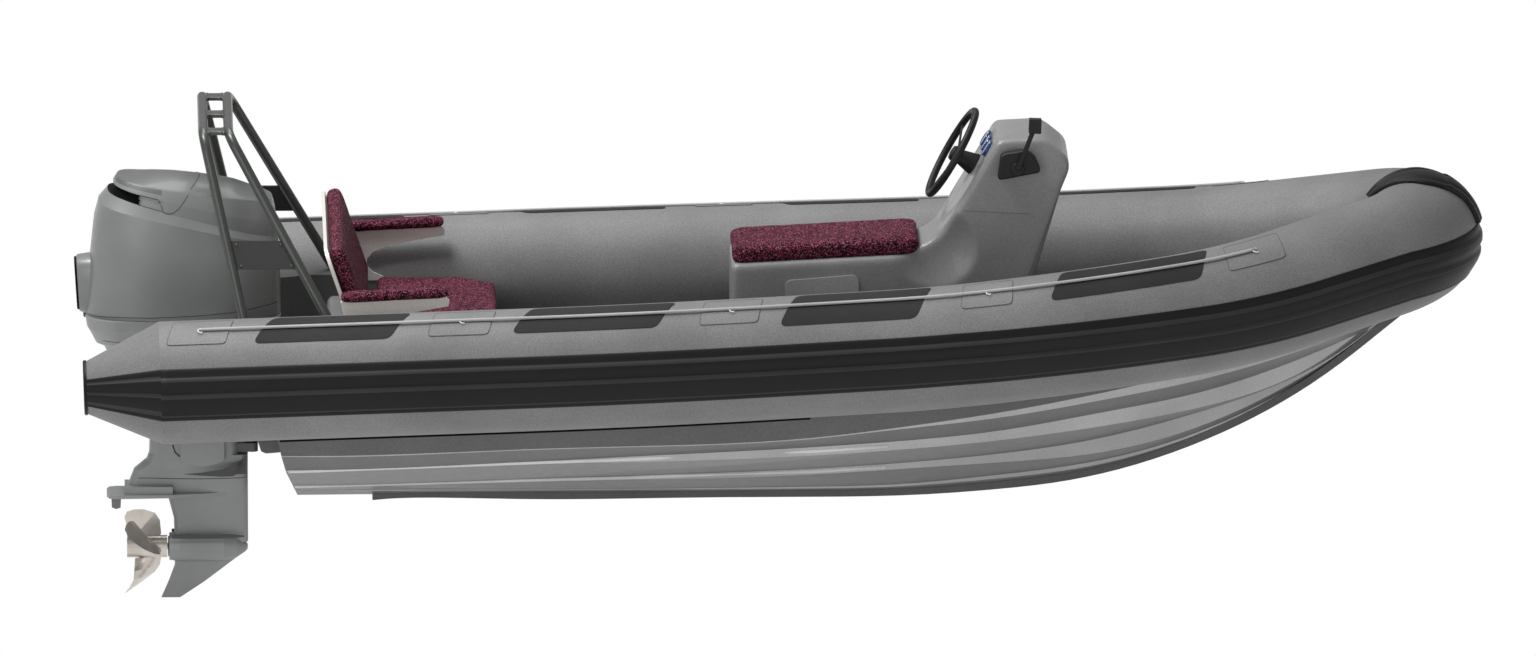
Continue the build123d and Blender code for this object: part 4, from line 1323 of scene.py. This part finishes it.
# %% Helm moulding
HELM_HALF_W = 0.19
HELM_EASE = 0.020
HELM_VOXEL = 0.0075
LONGEST_REACH = 0.48      # share of a side that the rounding of a corner may take
HELM_PROFILE = [
    # x, z of a corner, and the radius that rounds it
    (1.580, 0.157, 0.0), (1.580, 0.597, 0.02), (2.200, 0.628, 0.0), (2.325, 0.676, 0.30),
    (2.548, 1.052, 0.035), (2.716, 1.060, 0.09), (2.824, 0.972, 0.08), (2.782, 0.870, 0.15),
    (2.690, 0.560, 0.0), (2.560, 0.190, 0.0),
]
SCOOP_CENTRE = Vector((2.325, 0.655))
SCOOP_R = 0.148
SCOOP_DEPTH = 0.036
HELM_CREASE = [(2.4276, 0.794), (2.6679, 0.780)]
HELM_JOINT = [(2.768, 0.835), (2.730, 0.735), (2.660, 0.544), (2.560, 0.300)]


def rounded_profile(rows, steps=6):
    """A closed outline whose corners are rounded by their radius."""
    points = []
    for last, (x, z, radius), following in zip(rows[-1:] + rows, rows, rows[1:] + rows[:1]):
        here = Vector((x, z))
        if radius == 0:
            points.append(here)
            continue
        before, after = Vector(last[:2]) - here, Vector(following[:2]) - here
        room = LONGEST_REACH * min(before.length, after.length)
        reach = min(radius / tan(before.angle(after) / 2), room)
        start, end = here + before.normalized() * reach, here + after.normalized() * reach
        for i in range(steps + 1):
            t = i / steps
            points.append(start * (1 - t) ** 2 + here * 2 * t * (1 - t) + end * t * t)
    return points


def on_rim(edge):
    """Whether an edge runs along one of the helm's two flat sides."""
    y, other_y = (v.co.y for v in edge.verts)
    return abs(y - other_y) < 1e-5


helm_outline = [(x, z) for x, z in rounded_profile(HELM_PROFILE)]
helm_block = bevelled(*plate(helm_outline, HELM_HALF_W, -HELM_HALF_W), HELM_EASE, on_rim)
helm_mesh = remeshed(helm_block, HELM_VOXEL)
for vertex in helm_mesh.vertices:
    reach = (vertex.co.xz - SCOOP_CENTRE).length
    if reach < SCOOP_R:
        vertex.co.y *= 1 - SCOOP_DEPTH * (1 - (reach / SCOOP_R) ** 2) / HELM_HALF_W
helm = finish_mesh("helm_console", helm_mesh, helm_gelcoat)
smoother = helm.modifiers.new("smooth", "CORRECTIVE_SMOOTH")
smoother.iterations = 6
smoother.use_only_smooth = True
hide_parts("helm_moulding")
helm_tree = surface_of(helm)
helm_paths = [
    dropped(helm_tree, path, side=side) for side in BOTH_SIDES for path in (HELM_CREASE, HELM_JOINT)
]
seams("helm_seams", helm_paths, glue_line, "boat", radius=0.001)
print("helm", len(helm.data.polygons), "faces")

# %% [markdown]
# ## Throttle
# A rounded control box stands off the starboard side, with a pivot disc, a thin lever and a block
# grip.

# %% Throttle
BOX_SIDE = [
    (2.5476, 0.9253), (2.5559, 0.9149), (2.6976, 0.9414), (2.7034, 0.9519), (2.6852, 0.9959),
    (2.6677, 1.0135), (2.6415, 1.0239), (2.573, 1.0135), (2.5585, 1.003),
]
PIVOT = [(2.620 + x, 0.9563 + z) for x, z in ring(0.025, 40)]
LEVER = [(2.6125, 0.9595), (2.6285, 0.9525), (2.6830, 1.097), (2.6670, 1.103)]
GRIP = [(2.6590, 1.0955), (2.7045, 1.0935), (2.7065, 1.1465), (2.6610, 1.1485)]
LEVER_PLATES = [plate(PIVOT, -0.242, -0.226), plate(LEVER, -0.250, -0.240), plate(GRIP, -0.264, -0.228)]

throttle_box = mesh_piece("control_box", *plate(BOX_SIDE, -0.233, -0.190), dark_plastic)
eased(throttle_box, width=0.006, segments=3, angle=35)
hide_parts("throttle_box")
throttle_lever = mesh_piece("control_lever", *joined(LEVER_PLATES), dark_plastic)
eased(throttle_lever, width=0.003, segments=3, angle=35)
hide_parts("throttle_lever")
print("throttle", len(throttle_lever.data.polygons), "faces")

# %% [markdown]
# ## Hull details
# The steep outer faces of the spray rails get a lighter gelcoat, and light beads run along two rails:
# both are painted highlights. A black bead just under the collar is a painted shadow, and two cast
# lugs sit at the foot of the transom.

# %% Hull details
CHINE = [
    # x, z of the upper edge of the top rail
    (-0.11, 0.002), (0.0, 0.002), (0.87, 0.024), (1.165, 0.030), (1.89, 0.057), (2.14, 0.083),
    (2.55, 0.134), (2.91, 0.189), (3.28, 0.257), (3.65, 0.332), (3.83, 0.336), (4.025, 0.406),
]
RAILS = [
    # x, y and z of the middle of the third rail from the chine, then of the second
    (-0.088, 0.2255, -0.215, 0.571, -0.0775), (0.0, 0.2255, -0.215, 0.571, -0.0775),
    (0.870, 0.2262, -0.195, 0.571, -0.049), (1.165, 0.2266, -0.1895, 0.5725, -0.040),
    (1.890, 0.2249, -0.1695, 0.5641, -0.0135), (2.140, 0.2179, -0.1565, 0.5493, -0.001),
]
RAIL_STARTS = ((1, 0.076), (3, 0.050))      # column of the table, and how much later its bead starts
RAIL_FACING = Vector((0, 0.97, -0.24))
RAIL_BEAD_R = 0.0065
RAIL_LEAN = (-0.45, 0.05)
RAIL_END_X = 0.85
CHINE_SLACK = 0.003
SHADOW_BEAD_FROM, SHADOW_BEAD_STEP, SHADOW_BEAD_COUNT = -0.07, 0.035, 56
SHADOW_BEAD_R = 0.0045
SHADOW_BEAD_DROP = 0.004
LUG = [(-0.150, 0.040), (-0.137, -0.002), (-0.119, -0.010), (-0.066, -0.006), (-0.055, 0.040)]

hull_node = nodes["hull"]
# Faces under the chine that lean like the rails' outer faces get the lighter gelcoat, a painted
# highlight.
hull_node.data.materials.append(rail_painted_highlight.material)
to_world = hull_node.matrix_world
highlighted = 0
for face in hull_node.data.polygons:
    spot = to_world @ face.center
    lean = (to_world.to_3x3() @ face.normal).z
    under_chine = spot.z < table_value(CHINE, spot.x) + CHINE_SLACK
    if RAIL_LEAN[0] < lean < RAIL_LEAN[1] and under_chine and abs(face.normal.x) < RAIL_END_X:
        face.material_index = len(hull_node.data.materials) - 1
        highlighted += 1

# Light beads along two rails are painted highlight lines.
rail_solids = []
for column, later in RAIL_STARTS:
    rail_rows = [(Vector((row[0], row[column], row[column + 1])), RAIL_FACING) for row in RAILS]
    rail_rows[0][0].x += later
    rail_solids.append(swept_solid(rail_rows, ring(RAIL_BEAD_R, 10, flat=0.5)))
rail_highlight_beads = mesh_piece("rail_edges", *with_mirror(*joined(rail_solids)), rail_line_highlight)

# Painted shadow: a black bead on the hull just below the collar's lower edge as the camera sees it,
# where the gap lies in shade.
hull_tree = surface_of(hull_node)
sight = Vector((0, cos(CAMERA_LIFT), -sin(CAMERA_LIFT)))
shadow_bead_rows = []
for i in range(SHADOW_BEAD_COUNT):
    x, y, z = station_at(SHADOW_BEAD_FROM + SHADOW_BEAD_STEP * i)[0]
    origin = Vector((x, -y - TUBE_R * sin(CAMERA_LIFT), z - (TUBE_R + SHADOW_BEAD_DROP) * cos(CAMERA_LIFT)))
    spot, normal, _, _ = hull_tree.ray_cast(origin, sight)
    if spot is not None:
        shadow_bead_rows.append((spot, normal))
mesh_piece("collar_bead", *with_mirror(*swept_solid(shadow_bead_rows, ring(SHADOW_BEAD_R, 8))), black_and_painted_shadow)

lug_solids = [plate(LUG, -0.575, -0.525), plate(LUG, 0.525, 0.575)]
lugs = eased(mesh_piece("transom_lugs", *joined(lug_solids), grey_gelcoat), width=0.004)
print("polished rail faces", highlighted, "bead stations", len(shadow_bead_rows))

# %% [markdown]
# ## Wheel rim and gauges
# The rim and the spokes are swept, and the hub and the gauge dials are turned.

# %% Wheel rim
WHEEL_CENTRE = Vector((2.389, 0, 0.969))
WHEEL_R = 0.171
WHEEL_LEAN = radians(29.7)
RIM_R = 0.0135
RIM_STEPS = 96
SPOKES = (90, 210, 330)   # degrees round the wheel, from port
SPOKE_R = 0.0075
SPOKE_FROM, SPOKE_TO = 0.018, WHEEL_R - 0.004
HUB_SUNK = 0.020
HUB_PROFILE = [
    # radius, distance along the axis
    (0.010, -0.066), (0.010, -0.030), (0.026, -0.028), (0.029, -0.018), (0.029, -0.004),
    (0.024, 0.004), (0.010, 0.007),
]
wheel_axis = Vector((-cos(WHEEL_LEAN), 0, sin(WHEEL_LEAN)))
wheel_up = wheel_axis.cross(Y_AXIS)


def wheel_way(a):
    """The way out from the wheel's centre at an angle."""
    return Y_AXIS * cos(a) + wheel_up * sin(a)


rim_ways = [wheel_way(2 * pi * i / RIM_STEPS) for i in range(RIM_STEPS)]
rim_rows = [(WHEEL_CENTRE + way * WHEEL_R, way) for way in rim_ways]
rim_solid = swept_solid(rim_rows, ring(RIM_R, 16), closed=True)
rim = mesh_piece("wheel_grip", *rim_solid, dark_plastic, "wheel")
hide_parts("wheel_rim")
print("wheel rim", len(rim.data.polygons), "faces")

hub = WHEEL_CENTRE - wheel_axis * HUB_SUNK
hub_solids = []
for degrees in SPOKES:
    way = wheel_way(radians(degrees))
    spoke_ends = (hub + way * SPOKE_FROM, WHEEL_CENTRE + way * SPOKE_TO)
    spoke_rows = [(end, wheel_axis) for end in spoke_ends]
    hub_solids.append(swept_solid(spoke_rows, ring(SPOKE_R, 10, flat=0.5)))
hub_solids.append(turned(HUB_PROFILE, WHEEL_CENTRE, wheel_axis, Y_AXIS, wheel_up, 32))
spokes = crisp(mesh_piece("wheel_hub", *joined(hub_solids), dark_plastic, "wheel"), angle=40)
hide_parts("wheel_spokes")

# %% Gauges
GAUGE_Y = (-0.084, 0, 0.084)
GAUGE_PROFILE = [
    # radius, height above the dash
    (0.032, 0.0), (0.032, 0.011), (0.030, 0.013), (0.028, 0.012),
]
DASH_TOP = Vector((2.552, 0, 1.051))
GAUGES_DOWN = 0.062
dash_dir = Vector((0.26, 0, 0.401)).normalized()
dash_out = Vector((-dash_dir.z, 0, dash_dir.x))
dash_spot = DASH_TOP - dash_dir * GAUGES_DOWN
dials = [turned(GAUGE_PROFILE, dash_spot + Y_AXIS * y, dash_out, Y_AXIS, dash_dir) for y in GAUGE_Y]
gauges = crisp(mesh_piece("gauge_dials", *joined(dials), gauge_blue), angle=30)
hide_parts("gauges")
print("gauges", len(GAUGE_Y))
